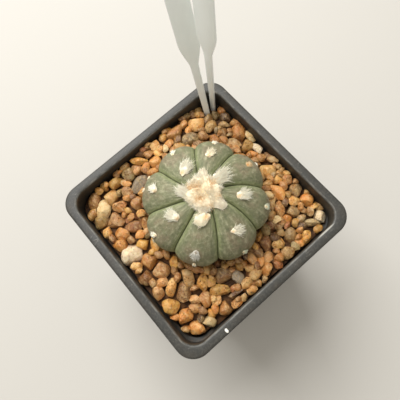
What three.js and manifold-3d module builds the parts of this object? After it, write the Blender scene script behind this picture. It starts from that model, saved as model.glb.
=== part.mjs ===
// A star cactus in a square black nursery pot, topped with tan gravel, with two white plant labels.
// Millimetres, +Z up. The origin is the middle of the pot's foot, on the surface that it stands on.
// The pot's sides lie along X and Y, and the labels lean over its +X +Y corner.
import * as THREE from "three";
import { mergeVertices } from "three/addons/utils/BufferGeometryUtils.js";
import Module from "manifold-3d";

const wasm = await Module();
wasm.setup();

// Clearance between pieces that touch.
const GAP = 0.3;

// Pot
const POT_SIDE = 70;
const POT_HEIGHT = 65;
const BASE_SIDE = 52;
const CORNER_RADIUS = 6.5;
const WALL = 1.1;
const FLOOR = 2.2;
const RIM_SKIRT = 6;
const COLLAR_DEPTH = 9;
const COLLAR_STEP = 0.9;
const COLLAR_HALF = 31.7;
const DRAIN_RADIUS = 2.5;
const DRAIN_OFFSET = 14.5;
const FOOT_RECESS = 1;
const FOOT_PAD_HALF = 9;
const FOOT_RING_HALF = 20;
const FOOT_NOTCH_WIDTH = 8;

// Soil and gravel
const SOIL_TOP = 49.7;
const BED_BOTTOM = 50;
const BED_DEPTH = 2.6;
const GRAVEL_LEVEL = 61;
const GRAVEL_MOUND = 1;
const GRAVEL_HALF = 31.2;
const GRAVEL_SWELLS = [
  { x: 32, y: 32, rise: -3.6, spread: 8 },
  { x: -32, y: -32, rise: -5, spread: 8 },
  { x: 32, y: -32, rise: -3.5, spread: 7 },
  { x: -32, y: 32, rise: -1.5, spread: 8 },
  { x: 8, y: 30, rise: 1.2, spread: 13 },
  { x: 32, y: 4, rise: -1.2, spread: 11 },
];
const STONE_SEED = 20071;

// Stones that stand out by their size or colour, going round from the labels: where each lies, and its
// length, width and height.
const FEATURE_STONES = [
  // Towards the labels.
  { x: 27.5, y: 7.5, size: [5.4, 4.4, 3.8], yaw: 30 },
  { x: 29.6, y: 4.2, size: [4.8, 2.4, 2.2], yaw: 95 },
  { x: 28.6, y: 13.4, size: [6.2, 5.4, 4.6], yaw: 60 },
  { x: 29.4, y: 21.4, size: [4.4, 3.4, 3.6], yaw: 110 },
  { x: 28.2, y: 25.2, size: [3.8, 2.8, 4.4], yaw: 60 },
  { x: 24.6, y: 25.4, size: [4.6, 3.8, 3.4], yaw: 40 },
  { x: 22.5, y: 21.6, size: [5.6, 3.8, 3.4], yaw: 20 },
  { x: 19.4, y: 26.2, size: [6.4, 5.6, 4.8], yaw: 10 },
  { x: 13.7, y: 22.6, size: [6, 4.8, 3.8], yaw: -10 },
  { x: 11.2, y: 28.4, size: [7.2, 4.4, 4], yaw: 15 },
  { x: -1.2, y: 24.4, size: [4.6, 4.6, 3.6], yaw: -40 },
  { x: -5.1, y: 28.6, size: [6.1, 2.6, 2.4], yaw: -42 },
  // Along the -X side.
  { x: -10.9, y: 27.2, size: [5, 4.6, 3.8], yaw: 48 },
  { x: -10.4, y: 22.4, size: [7.6, 4.9, 4], yaw: 13 },
  { x: -16.2, y: 28.2, size: [5, 4.3, 3.6], yaw: -40 },
  { x: -20.8, y: 25.6, size: [5.6, 5, 4], yaw: 48 },
  { x: -26.2, y: 28.4, size: [6, 4, 3.6], yaw: 48 },
  { x: -25.6, y: 23.6, size: [7, 4.8, 3.8], yaw: 38 },
  { x: -20.4, y: 20.6, size: [4.6, 3.9, 3.4], yaw: -40 },
  { x: -15.4, y: 16.8, size: [5.2, 4.2, 3.4], yaw: 48 },
  { x: -25, y: 17.6, size: [6.2, 5.8, 4.2], yaw: -40 },
  { x: -28.8, y: 21.2, size: [5.2, 4.6, 4], yaw: 0 },
  { x: -25.8, y: 12.4, size: [4.8, 4.5, 3.6], yaw: -30 },
  { x: -20.9, y: 11.4, size: [6.4, 3.8, 3.2], yaw: -42 },
  { x: -28.8, y: 9.8, size: [5, 4.2, 3.6], yaw: -50 },
  { x: -22.6, y: 4.6, size: [4.2, 4, 3.4], yaw: 0 },
  { x: -27.8, y: 4.4, size: [7.2, 6.4, 4.8], yaw: 40 },
  { x: -24.8, y: -0.8, size: [5.6, 5.4, 4], yaw: -30 },
  { x: -28.8, y: -4.4, size: [5.4, 4.8, 4], yaw: -40 },
  { x: -23.2, y: -5.6, size: [5.6, 5.2, 3.8], yaw: -40 },
  { x: -28.9, y: -10.6, size: [4.6, 4.3, 3.6], yaw: 20 },
  { x: -25, y: -12.6, size: [6.8, 3, 2.8], yaw: 33 },
  { x: -28.6, y: -16.6, size: [5.8, 5, 4], yaw: -30 },
  { x: -22.3, y: -16.2, size: [6.4, 4.8, 3.8], yaw: 48 },
  // Along the -Y side.
  { x: -18.4, y: -13.6, size: [6, 4.2, 3.4], yaw: 88 },
  { x: -15.8, y: -18.2, size: [6, 3.5, 3.2], yaw: 48 },
  { x: -9.4, y: -20.6, size: [5.8, 5, 3.6], yaw: -42 },
  { x: -12.9, y: -23.4, size: [6.6, 3.5, 3], yaw: -30 },
  { x: -6, y: -24.2, size: [4.8, 3.8, 3.4], yaw: 48 },
  { x: -18.6, y: -22.4, size: [5.4, 3.9, 3.4], yaw: 48 },
  { x: -10.4, y: -27.6, size: [5.8, 1.5, 1.5], yaw: -11 },
  { x: -15.4, y: -28.6, size: [4.7, 4.5, 3.8], yaw: 0 },
  { x: -27, y: -22.2, size: [5.2, 4.4, 3.8], yaw: 20 },
  { x: -26.6, y: -27.6, size: [5.4, 5.2, 4.4], yaw: 35 },
  { x: -22.2, y: -28.6, size: [4.2, 3.5, 3.4], yaw: -42 },
  { x: 2.8, y: -28.4, size: [4.6, 4.4, 3.6], yaw: -40 },
  { x: 8.3, y: -22.4, size: [5.4, 4.4, 3.6], yaw: 48 },
  { x: 11.8, y: -29, size: [4.8, 3.8, 3.4], yaw: 0 },
  { x: 16.1, y: -25.6, size: [5.2, 3.9, 3.6], yaw: 48 },
  { x: 19.8, y: -29.2, size: [4.8, 3.2, 3.2], yaw: 48 },
  // Along the +X side.
  { x: 24.8, y: -27.2, size: [5.6, 2.6, 2.6], yaw: -42 },
  { x: 28.6, y: -27.2, size: [4.4, 4.2, 3.6], yaw: 70 },
  { x: 22.7, y: -20.2, size: [4.4, 4.2, 3.4], yaw: -40 },
  { x: 19.4, y: -16.8, size: [5.8, 3.8, 3.4], yaw: 48 },
  { x: 29, y: -20.6, size: [4.6, 4.4, 3.8], yaw: 0 },
  { x: 28.9, y: -15.6, size: [5.2, 4.2, 3.8], yaw: 48 },
  { x: 23.6, y: -12, size: [6.4, 4, 3.4], yaw: 78 },
  { x: 29.4, y: -11, size: [4, 3.4, 3.2], yaw: -40 },
  { x: 26.4, y: -3.6, size: [6, 5, 4], yaw: -40 },
];

// Size classes of the other stones: mean diameter range and how many are offered.
const STONE_CLASSES = [
  { smallest: 4.4, largest: 6.2, count: 60 },
  { smallest: 3.3, largest: 4.8, count: 200 },
  { smallest: 2.1, largest: 3.4, count: 330 },
];
const STONE_TRIES = 24;
const LABEL_ROOM = 1.3;
const STONE_TILT = 28;
const FIRST_LAYER_DEPTH = 3.2;
const FEATURE_PROUD = 0.5;
const TOP_LAYER_PROUD = 0.4;
const VISIBLE_DEPTH = 2.2;
const STONE_OVERLAP = 1.05;
const SMALL_STONE = 3.6;
const CELL = 0.5;
const CELLS = 126;

// Cactus: a flattened globe with eight ribs, on a tap root.
const PLANT_X = 1.8;
const PLANT_Y = 0.2;
const EQUATOR = 68;
const PLANT_RADIUS = 20.6;
const CROWN_RISE = 11.4;
const FLANK_DEPTH = 15;
const PROFILE_POWER = 2;
const NECK_POLAR = -66;
const CROWN_DIMPLE = 1.4;
const DIMPLE_RADIUS = 4.2;
const GROOVE_SHARPNESS = 2.6;
const CROWN_GROOVE_DEPTH = 0.4;
const EQUATOR_GROOVE_DEPTH = 2;
const COLUMNS_PER_RIB = 8;
const ROOT_PROFILE = [
  [7.2, 48],
  [4.4, 37],
  [2.2, 25],
  [1.1, 15],
  [0, 13],
];

// The ribs in turn. Each starts at a groove, whose azimuth at the equator and whose turn on the way to
// the crown are given, and bears tufts of wool down its crest, at these angles above the equator.
const RIBS = [
  { groove: 17.5, turn: 6, tufts: [51, 28, 3] },
  { groove: 59.5, turn: 9, tufts: [63, 31, 4] },
  { groove: 105.5, turn: 15, tufts: [41, 18, -6] },
  { groove: 152.5, turn: 9, tufts: [58, 22, -5] },
  { groove: 197.5, turn: 8, tufts: [69, 32, 9, -14] },
  { groove: 241.5, turn: 20, tufts: [46, 10, -12] },
  { groove: 289, turn: 20, tufts: [57, 21, -4] },
  { groove: 331, turn: 13, tufts: [34, 5] },
];
const WOOL_RADIUS = 0.35;
const CROWN_WOOL_RADIUS = 5.3;
const CROWN_WOOL_HEIGHT = 1.9;
const CROWN_STRANDS = 40;
const CROWN_LOBES = [
  { azimuth: 50, reach: 5.2, radius: 1.8 },
  { azimuth: 284, reach: 5.4, radius: 2.0 },
  { azimuth: 137, reach: 5.8, radius: 1.9 },
  { azimuth: 2, reach: 7.2, radius: 2.1 },
];

// Plant labels: a head to write on, on a stem that narrows to a point.
const LABEL_THICKNESS = 0.7;
const LABEL_HEAD_WIDTH = 7;
const LABEL_HEAD_LENGTH = 27;
const LABEL_SHOULDER = 8;
const LABEL_STEM_TOP_WIDTH = 2.8;
const LABEL_STEM_LENGTH = 53;
const LABEL_TIP_WIDTH = 1.2;
const LABEL_CORNER = 1.5;
const LABELS = [
  { name: "label_left", atRim: [26.6, 29.9], lean: [0.097, 0.335], across: -41, headAbove: 22.5 },
  { name: "label_right", atRim: [29.5, 28.5], lean: [0.075, 0.122], across: -77, headAbove: 28 },
];

const radians = THREE.MathUtils.degToRad;

// Seeded draws from 0 to 1, by the Park-Miller generator.
function seededDraws(seed) {
  let state = seed;
  return () => {
    state = (state * 16807) % 2147483647;
    return state / 2147483647;
  };
}

// A three.js geometry as a solid, for cutting and joining.
function solidOf(geometry, matrix = new THREE.Matrix4()) {
  const loose = geometry.index ? geometry.toNonIndexed() : geometry.clone();
  const bare = new THREE.BufferGeometry().setAttribute("position", loose.getAttribute("position"));
  const merged = mergeVertices(bare.applyMatrix4(matrix), 1e-4);
  return new wasm.Manifold(
    new wasm.Mesh({
      numProp: 3,
      vertProperties: merged.attributes.position.array,
      triVerts: new Uint32Array(merged.index.array),
    }),
  );
}

// A solid as a three.js geometry.
function geometryOf(solid) {
  const mesh = solid.getMesh();
  return new THREE.BufferGeometry()
    .setAttribute("position", new THREE.BufferAttribute(mesh.vertProperties, 3))
    .setIndex(new THREE.BufferAttribute(mesh.triVerts, 1));
}

const union = (solids) => wasm.Manifold.union(solids);
const largestBody = (solid) => solid.decompose().sort((a, b) => b.volume() - a.volume())[0];
const at = (x, y, z) => new THREE.Matrix4().makeTranslation(x, y, z);

// A solid of rounded-square rings. Each ring is [half side, height, corner radius], from the bottom of
// the axis round the outside to its top. A lathe gives the rings, and each is then squared up.
const CORNER_STEPS = 4;
function roundedSquareLoft(rings) {
  const columns = 4 * (CORNER_STEPS + 1);
  const lathe = new THREE.LatheGeometry(
    rings.map(([half, height]) => new THREE.Vector2(half, height)),
    columns,
  );
  const { position, uv } = lathe.attributes;
  for (let i = 0; i < position.count; i++) {
    const column = Math.round(uv.getX(i) * columns) % columns;
    const [half, height, radius] = rings[Math.round(uv.getY(i) * (rings.length - 1))];
    const quarter = Math.floor(column / (CORNER_STEPS + 1));
    const step = column % (CORNER_STEPS + 1);
    const turn = radians(90 * (quarter + step / CORNER_STEPS));
    const centre = radians(90 * quarter + 45);
    const reach = Math.max(half - radius, 0) * Math.SQRT2;
    const corner = Math.min(radius, half);
    position.setXYZ(
      i,
      reach * Math.cos(centre) + corner * Math.cos(turn),
      reach * Math.sin(centre) + corner * Math.sin(turn),
      height,
    );
  }
  return solidOf(lathe.deleteAttribute("normal").deleteAttribute("uv"));
}

// The outside's half side at a height of the pot's walls.
function wallHalf(z) {
  const top = COLLAR_HALF + WALL - COLLAR_STEP;
  return THREE.MathUtils.mapLinear(z, 0, POT_HEIGHT - COLLAR_DEPTH, BASE_SIDE / 2, top);
}

// The pot's inside as a solid, drawn in by a clearance, from one height to another.
function potInside(bottom, top, clearance) {
  const step = POT_HEIGHT - COLLAR_DEPTH;
  const inner = (z) => wallHalf(z) - WALL - clearance;
  const collar = COLLAR_HALF - clearance;
  const corner = CORNER_RADIUS - WALL;
  const rings = [[0, bottom, 0], [inner(bottom), bottom, corner]];
  if (top > step) {
    rings.push([inner(step), step + clearance, corner]);
    rings.push([collar, step + COLLAR_STEP + clearance, corner]);
    rings.push([collar, top, corner]);
  } else {
    rings.push([inner(top), top, corner]);
  }
  rings.push([0, top, 0]);
  return roundedSquareLoft(rings);
}

function buildPot() {
  const rim = POT_SIDE / 2;
  const step = POT_HEIGHT - COLLAR_DEPTH;
  const skirt = POT_HEIGHT - RIM_SKIRT;
  const corner = CORNER_RADIUS;
  const inside = corner - WALL;
  const shell = roundedSquareLoft([
    [0, 0, 0],
    [BASE_SIDE / 2 - 1, 0, corner - 1],
    [BASE_SIDE / 2, 1, corner],
    [wallHalf(step - 1), step - 1, corner],
    [COLLAR_HALF + WALL, step, corner],
    [COLLAR_HALF + WALL, POT_HEIGHT - 1.5, corner],
    [rim - WALL - 0.2, POT_HEIGHT - 1.5, corner - WALL],
    [rim - WALL, skirt, corner - WALL],
    [rim, skirt, corner],
    [rim, POT_HEIGHT - 0.8, corner],
    [rim - 0.2, POT_HEIGHT - 0.3, corner - 0.2],
    [rim - 0.8, POT_HEIGHT, corner - 0.8],
    [COLLAR_HALF + 1, POT_HEIGHT, inside + 1],
    [COLLAR_HALF + 0.2, POT_HEIGHT - 0.4, inside + 0.2],
    [COLLAR_HALF, POT_HEIGHT - 1.2, inside],
    [COLLAR_HALF, step + COLLAR_STEP, inside],
    [wallHalf(step) - WALL, step, inside],
    [wallHalf(FLOOR) - WALL, FLOOR + 0.8, inside],
    [wallHalf(FLOOR) - WALL - 0.8, FLOOR, inside - 0.8],
    [0, FLOOR, 0],
  ]);
  const ring = roundedSquareLoft([
    [0, -1, 0],
    [FOOT_RING_HALF, -1, 4],
    [FOOT_RING_HALF, FOOT_RECESS, 4],
    [0, FOOT_RECESS, 0],
  ]);
  const pad = roundedSquareLoft([
    [0, -2, 0],
    [FOOT_PAD_HALF, -2, 2],
    [FOOT_PAD_HALF, FOOT_RECESS + 1, 2],
    [0, FOOT_RECESS + 1, 0],
  ]);
  const notch = new THREE.BoxGeometry(FOOT_NOTCH_WIDTH, BASE_SIDE, 2 * FOOT_RECESS);
  const notches = [0, 90].map((turn) => solidOf(notch, new THREE.Matrix4().makeRotationZ(radians(turn))));
  const drain = new THREE.CylinderGeometry(DRAIN_RADIUS, DRAIN_RADIUS, 4 * FLOOR, 16).rotateX(Math.PI / 2);
  const drains = [-1, 1].flatMap((x) =>
    [-1, 1].map((y) => solidOf(drain, at(x * DRAIN_OFFSET, y * DRAIN_OFFSET, 0))),
  );
  const recess = union([ring, ...notches]).subtract(pad);
  return shell.subtract(recess).subtract(union(drains));
}

// The crest's profile at an angle above the equator: distance from the axis, and height.
function crestPoint(polar, grow = 0) {
  const angle = radians(polar);
  const radius = PLANT_RADIUS * Math.cos(angle) ** (2 / PROFILE_POWER);
  const rise = polar > 0 ? CROWN_RISE : -FLANK_DEPTH;
  const height = EQUATOR + rise * Math.abs(Math.sin(angle)) ** (2 / PROFILE_POWER);
  const dimple = polar > 0 ? CROWN_DIMPLE * Math.exp(-((radius / DIMPLE_RADIUS) ** 2)) : 0;
  const normal = crestNormal(polar);
  return new THREE.Vector2(radius, height - dimple).addScaledVector(normal, grow);
}

// The direction out of the crest, as (away from the axis, up).
function crestNormal(polar) {
  const angle = radians(polar);
  const half = polar > 0 ? CROWN_RISE : FLANK_DEPTH;
  return new THREE.Vector2(Math.cos(angle) / PLANT_RADIUS, Math.sin(angle) / half).normalize();
}

// The azimuth at a share of the way across a rib, at a distance from the axis.
function ribAzimuth(rib, share, radius) {
  const towardsCrown = (1 - Math.min(radius / PLANT_RADIUS, 1)) ** 1.3;
  const [start, end] = [RIBS[rib], RIBS[(rib + 1) % RIBS.length]];
  const from = start.groove + start.turn * towardsCrown;
  const to = end.groove + end.turn * towardsCrown + (end === RIBS[0] ? 360 : 0);
  return radians(from + share * (to - from));
}

// The ribbed stem and its tap root, grown by a clearance.
function buildStem(grow) {
  const polars = [90, 84, 77, 69, 61, 52, 42, 31, 19, 6, -8, -23, -38, -53, NECK_POLAR];
  const stations = polars.map((polar) => ({ crest: crestPoint(polar, grow), polar }));
  stations[0].crest.x = 0;
  for (const [radius, height] of ROOT_PROFILE) {
    const crest = new THREE.Vector2(radius && radius + grow, radius ? height : height - grow);
    stations.push({ crest, polar: NECK_POLAR });
  }
  const columns = RIBS.length * COLUMNS_PER_RIB;
  stations.reverse();
  const lathe = new THREE.LatheGeometry(stations.map((station) => station.crest), columns);
  const { position, uv } = lathe.attributes;
  for (let i = 0; i < position.count; i++) {
    const column = Math.round(uv.getX(i) * columns) % columns;
    const rib = Math.floor(column / COLUMNS_PER_RIB);
    const share = (column % COLUMNS_PER_RIB) / COLUMNS_PER_RIB;
    const { crest, polar } = stations[Math.round(uv.getY(i) * (stations.length - 1))];
    const azimuth = ribAzimuth(rib, share, crest.x);
    const point = crest.clone().addScaledVector(crestNormal(polar), -grooveDepth(crest, share));
    position.setXYZ(i, point.x * Math.cos(azimuth), point.x * Math.sin(azimuth), point.y);
  }
  return solidOf(lathe, at(PLANT_X, PLANT_Y, 0));
}

// How deep the surface lies under the crest, by the share of the way across the rib.
function grooveDepth(crest, share) {
  const outwards = Math.min(crest.x / PLANT_RADIUS, 1);
  const neck = crestPoint(NECK_POLAR).y;
  const fade = THREE.MathUtils.smoothstep(crest.y, neck, EQUATOR);
  const middle = THREE.MathUtils.smoothstep(crest.x, 0, 4);
  const full = (CROWN_GROOVE_DEPTH + EQUATOR_GROOVE_DEPTH * outwards ** 0.86) * fade * middle;
  return full * Math.abs(2 * share - 1) ** GROOVE_SHARPNESS;
}

// The frame of a tuft on a rib's crest: x runs away from the crown, z runs out of the stem.
function tuftFrame(rib, polar) {
  const crest = crestPoint(polar);
  const azimuth = ribAzimuth(rib, 0.5, crest.x);
  const normal = crestNormal(polar);
  const out = new THREE.Vector3(
    normal.x * Math.cos(azimuth),
    normal.x * Math.sin(azimuth),
    normal.y,
  );
  const across = new THREE.Vector3(-Math.sin(azimuth), Math.cos(azimuth), 0);
  const away = new THREE.Vector3().crossVectors(across, out);
  return new THREE.Matrix4()
    .makeBasis(away, across, out)
    .setPosition(PLANT_X + crest.x * Math.cos(azimuth), PLANT_Y + crest.x * Math.sin(azimuth), crest.y);
}

// A tuft grows smaller and barer as its rib carries it out from the crown.
const tuftRadius = (polar) => 0.75 + 1.25 * Math.max(polar / 70, 0) ** 1.2;

// One strand of wool, from a root sunk into its tuft, in the direction of a vector.
function strand(root, direction, length, radius) {
  const cone = new THREE.ConeGeometry(radius, length, 3).translate(0, length / 2, 0);
  const turn = new THREE.Quaternion().setFromUnitVectors(new THREE.Vector3(0, 1, 0), direction);
  return solidOf(cone, new THREE.Matrix4().compose(root, turn, new THREE.Vector3(1, 1, 1)));
}

// A tuft: a felt pad with strands that lean away from the crown, in its own frame.
function buildTuft(rib, polar, grow) {
  const frame = tuftFrame(rib, polar);
  const draw = seededDraws(100 * rib + polar + 50);
  const radius = tuftRadius(polar) + grow;
  const pad = new THREE.IcosahedronGeometry(1, 0).scale(radius, radius, 0.6 * radius);
  const pieces = [solidOf(pad)];
  const strands = Math.round(2 + 1.5 * radius);
  for (let k = 0; k < strands; k++) {
    const angle = (2 * Math.PI * (k + 0.6 * draw())) / strands;
    const spread = 0.35 + 0.35 * draw();
    const direction = new THREE.Vector3(
      0.45 + spread * Math.cos(angle),
      spread * Math.sin(angle),
      1,
    ).normalize();
    const root = new THREE.Vector3(0.4 * radius * Math.cos(angle), 0.4 * radius * Math.sin(angle), -0.2);
    const length = (0.9 + 0.9 * draw()) * radius + 0.5;
    pieces.push(strand(root, direction, length, WOOL_RADIUS + grow));
  }
  return union(pieces).transform(frame.elements);
}

function buildTufts(grow) {
  return RIBS.flatMap(({ tufts }, rib) => tufts.map((polar) => buildTuft(rib, polar, grow)));
}

// The mat of wool on the growing tip, with lobes where the youngest tufts join it.
function buildCrownWool() {
  const draw = seededDraws(71);
  const height = crestPoint(72).y;
  const core = new THREE.IcosahedronGeometry(1, 2);
  const pieces = [
    solidOf(core.clone().scale(CROWN_WOOL_RADIUS, CROWN_WOOL_RADIUS, CROWN_WOOL_HEIGHT), at(0, 0, height)),
  ];
  for (const { azimuth, reach, radius } of CROWN_LOBES) {
    const angle = radians(azimuth);
    const lobe = new THREE.IcosahedronGeometry(1, 1).scale(1.5 * radius, radius, 0.8 * radius);
    const place = new THREE.Matrix4().makeRotationZ(angle);
    place.setPosition(reach * Math.cos(angle), reach * Math.sin(angle), height - 0.2);
    pieces.push(solidOf(lobe, place));
    for (let k = 0; k < 5; k++) {
      const turn = angle + 0.9 * (draw() - 0.5);
      const direction = new THREE.Vector3(Math.cos(turn), Math.sin(turn), 0.3 + 0.6 * draw()).normalize();
      const root = new THREE.Vector3(reach * Math.cos(angle), reach * Math.sin(angle), height + 0.3);
      pieces.push(strand(root, direction, 1.5 * radius + 1.6 * draw(), WOOL_RADIUS));
    }
  }
  for (let k = 0; k < CROWN_STRANDS; k++) {
    const turn = radians(137.5 * k);
    const share = Math.sqrt((k + 0.5) / CROWN_STRANDS);
    const reach = 0.9 * CROWN_WOOL_RADIUS * share;
    const lift = height + CROWN_WOOL_HEIGHT * Math.sqrt(1 - (0.9 * share) ** 2) - 0.5;
    const lean = 1.5 * share + 0.3 * (draw() - 0.5);
    const direction = new THREE.Vector3(Math.cos(turn) * lean, Math.sin(turn) * lean, 1).normalize();
    const root = new THREE.Vector3(reach * Math.cos(turn), reach * Math.sin(turn), lift);
    pieces.push(strand(root, direction, 1.5 + 1.1 * draw(), WOOL_RADIUS));
  }
  return union(pieces).translate(PLANT_X, PLANT_Y, 0);
}

// A clear space round the stem and root, for what lies against them.
function plantClearance() {
  const profile = [90, 60, 40, 20, 0, -15, -30, -45, NECK_POLAR].map((polar) => crestPoint(polar, GAP + 0.1));
  profile[0].x = 0;
  for (const [radius, height] of ROOT_PROFILE) {
    profile.push(new THREE.Vector2(radius && radius + GAP + 0.1, radius ? height : height - GAP));
  }
  const lathe = new THREE.LatheGeometry(profile.reverse(), 32).rotateX(Math.PI / 2);
  return solidOf(lathe, at(PLANT_X, PLANT_Y, 0));
}

// The height of the gravel's surface: raised round the plant, and with a few swells and hollows.
function gravelLevel(x, y) {
  const fromPlant = Math.sqrt((x - PLANT_X) ** 2 + (y - PLANT_Y) ** 2) - PLANT_RADIUS;
  let level = GRAVEL_LEVEL + GRAVEL_MOUND / (1 + (fromPlant / 6) ** 2);
  for (const swell of GRAVEL_SWELLS) {
    level += swell.rise * Math.exp(-((x - swell.x) ** 2 + (y - swell.y) ** 2) / (2 * swell.spread ** 2));
  }
  return level;
}

// The underside of the plant's flank over a point, or infinity where it doesn't reach.
function flankHeight(x, y) {
  const out = Math.sqrt((x - PLANT_X) ** 2 + (y - PLANT_Y) ** 2) / (PLANT_RADIUS + GAP);
  if (out >= 1) return Infinity;
  const cosine = out ** (PROFILE_POWER / 2);
  return EQUATOR - FLANK_DEPTH * Math.sqrt(1 - cosine * cosine) ** (2 / PROFILE_POWER) - GAP;
}

// A stone is an ellipsoid that is turned by its yaw and then tipped. The six numbers of its quadric say
// how far its top and its underside lie from its middle over each point of the ground.
function stoneShape(length, width, height, yaw, tilt) {
  const [a, b, c] = [4 / length ** 2, 4 / width ** 2, 4 / height ** 2];
  const [cy, sy, ct, st] = [Math.cos(yaw), Math.sin(yaw), Math.cos(tilt), Math.sin(tilt)];
  const u = [cy, sy, 0];
  const v = [-sy * ct, cy * ct, st];
  const w = [sy * st, -cy * st, ct];
  const term = (i, j) => a * u[i] * u[j] + b * v[i] * v[j] + c * w[i] * w[j];
  const quadric = [term(0, 0), term(0, 1), term(1, 1), term(0, 2), term(1, 2), term(2, 2)];
  return { length, width, height, yaw, tilt, quadric, axes: [u, v, w] };
}

// The cells that a stone covers when its middle is over a point, with its underside and top at each.
function footprint(shape, x, y) {
  const [xx, xy, yy, xz, yz, zz] = shape.quadric;
  const reach = shape.length / 2;
  const cells = [];
  const first = (value) => Math.max(Math.ceil((value - reach) / CELL + CELLS / 2), 0);
  const last = (value) => Math.min(Math.floor((value + reach) / CELL + CELLS / 2), CELLS - 1);
  for (let row = first(y); row <= last(y); row++) {
    const dy = (row - CELLS / 2) * CELL - y;
    for (let column = first(x); column <= last(x); column++) {
      const dx = (column - CELLS / 2) * CELL - x;
      const slope = xz * dx + yz * dy;
      const inner = slope * slope - zz * (xx * dx * dx + 2 * xy * dx * dy + yy * dy * dy - 1);
      if (inner <= 0) continue;
      const root = Math.sqrt(inner);
      cells.push({ index: row * CELLS + column, low: (-slope - root) / zz, high: (-slope + root) / zz });
    }
  }
  return cells;
}

// Lays the stones that stand out in their places, and drops the others one by one. Each of those is
// tried at some places, and comes to rest where it lies deepest under the gravel's surface.
function layStones() {
  const draw = seededDraws(STONE_SEED);
  const ground = new Float64Array(CELLS * CELLS);
  const level = new Float64Array(CELLS * CELLS);
  const ceiling = new Float64Array(CELLS * CELLS);
  for (let index = 0; index < ground.length; index++) {
    const x = ((index % CELLS) - CELLS / 2) * CELL;
    const y = (Math.floor(index / CELLS) - CELLS / 2) * CELL;
    level[index] = gravelLevel(x, y);
    ceiling[index] = flankHeight(x, y);
    ground[index] = blocked(x, y) ? Infinity : level[index] - 2.2 * FIRST_LAYER_DEPTH;
  }
  const stones = [];
  const settle = (shape, x, y) => {
    const cells = footprint(shape, x, y);
    let z = -Infinity;
    for (const { index, low } of cells) z = Math.max(z, ground[index] - low);
    let proud = -Infinity;
    for (const { index, high } of cells) {
      proud = Math.max(proud, z + high - level[index]);
      if (z + high > ceiling[index]) proud = Infinity;
    }
    return { shape, x, y, z, cells, proud };
  };
  const keep = (rest) => {
    for (const { index, high } of rest.cells) ground[index] = Math.max(ground[index], rest.z + high);
    stones.push(rest);
  };
  const fill = (allowed) => {
    for (const { smallest, largest, count } of STONE_CLASSES) {
      for (let k = 0; k < count; k++) {
        const mean = smallest + (largest - smallest) * draw();
        const length = mean * (1.06 + 0.34 * draw());
        const width = mean * (0.86 + 0.16 * draw());
        const height = mean * (0.58 + 0.3 * draw());
        const yaw = 2 * Math.PI * draw();
        const shape = stoneShape(length, width, height, yaw, radians(STONE_TILT) * (2 * draw() - 1));
        let best = null;
        for (let n = 0; n < STONE_TRIES; n++) {
          const x = 2 * GRAVEL_HALF * (draw() - 0.5);
          const y = 2 * GRAVEL_HALF * (draw() - 0.5);
          const rest = settle(shape, x, y);
          if (Number.isFinite(rest.proud) && (!best || rest.proud < best.proud)) best = rest;
        }
        if (best && best.proud < allowed) keep(best);
      }
    }
  };
  for (const { x, y, size, yaw } of FEATURE_STONES) {
    const shape = stoneShape(...size, radians(yaw), 0);
    let inwards = 1;
    while (!Number.isFinite(settle(shape, x * inwards, y * inwards).proud)) inwards -= 0.005;
    const rest = settle(shape, x * inwards, y * inwards);
    keep({ ...rest, z: gravelLevel(rest.x, rest.y) + FEATURE_PROUD - shape.height / 2 });
  }
  fill(-FIRST_LAYER_DEPTH);
  fill(TOP_LAYER_PROUD);
  return stones;
}

// Where no stone can lie: past the pot's wall and at the labels' stems.
function blocked(x, y) {
  const corner = CORNER_RADIUS - 1;
  const overX = Math.abs(x) - (GRAVEL_HALF - corner);
  const overY = Math.abs(y) - (GRAVEL_HALF - corner);
  if (Math.hypot(Math.max(overX, 0), Math.max(overY, 0)) > corner) return true;
  return LABELS.some(({ atRim, lean }) => {
    const back = (POT_HEIGHT - gravelLevel(x, y)) / Math.sqrt(1 - lean[0] ** 2 - lean[1] ** 2);
    return Math.hypot(x - atRim[0] + back * lean[0], y - atRim[1] + back * lean[1]) < LABEL_ROOM;
  });
}

// One stone as a rough solid of twenty sides, or eight where it is small, a little larger than its
// ellipsoid. Its hidden underside is drawn down into the bed, which holds the stones together.
function stoneSolid({ shape, x, y, z }, draw) {
  const rough =
    shape.width < SMALL_STONE
      ? new THREE.OctahedronGeometry(1.12 * STONE_OVERLAP, 0).rotateX(0.5).rotateY(0.6)
      : new THREE.IcosahedronGeometry(STONE_OVERLAP, 0);
  const { position } = rough.attributes;
  const bumps = new Map();
  for (let i = 0; i < position.count; i++) {
    const corner = new THREE.Vector3().fromBufferAttribute(position, i);
    const key = corner.toArray().map((value) => value.toFixed(3)).join();
    if (!bumps.has(key)) bumps.set(key, 0.9 + 0.16 * draw());
    corner.multiplyScalar(bumps.get(key));
    position.setXYZ(i, ...corner.toArray());
  }
  const half = [shape.length / 2, shape.width / 2, shape.height / 2];
  const [u, v, w] = shape.axes.map((axis, i) => new THREE.Vector3(...axis).multiplyScalar(half[i]));
  rough.applyMatrix4(new THREE.Matrix4().makeBasis(u, v, w).setPosition(x, y, z));
  const footing = gravelLevel(x, y) - BED_DEPTH - 0.4;
  for (let i = 0; i < position.count; i++) {
    if (position.getZ(i) < z - 0.2 * shape.height) {
      position.setZ(i, Math.min(position.getZ(i), footing));
    }
  }
  return solidOf(rough);
}

// The layer that the stones lie in, a little under the gravel's surface.
function buildBed() {
  const bed = new THREE.BoxGeometry(2 * GRAVEL_HALF + 2, 2 * GRAVEL_HALF + 2, 2, 12, 12, 1);
  const { position } = bed.attributes;
  for (let i = 0; i < position.count; i++) {
    const [x, y] = [position.getX(i), position.getY(i)];
    position.setZ(i, position.getZ(i) > 0 ? gravelLevel(x, y) - BED_DEPTH : BED_BOTTOM);
  }
  return solidOf(bed);
}

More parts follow.
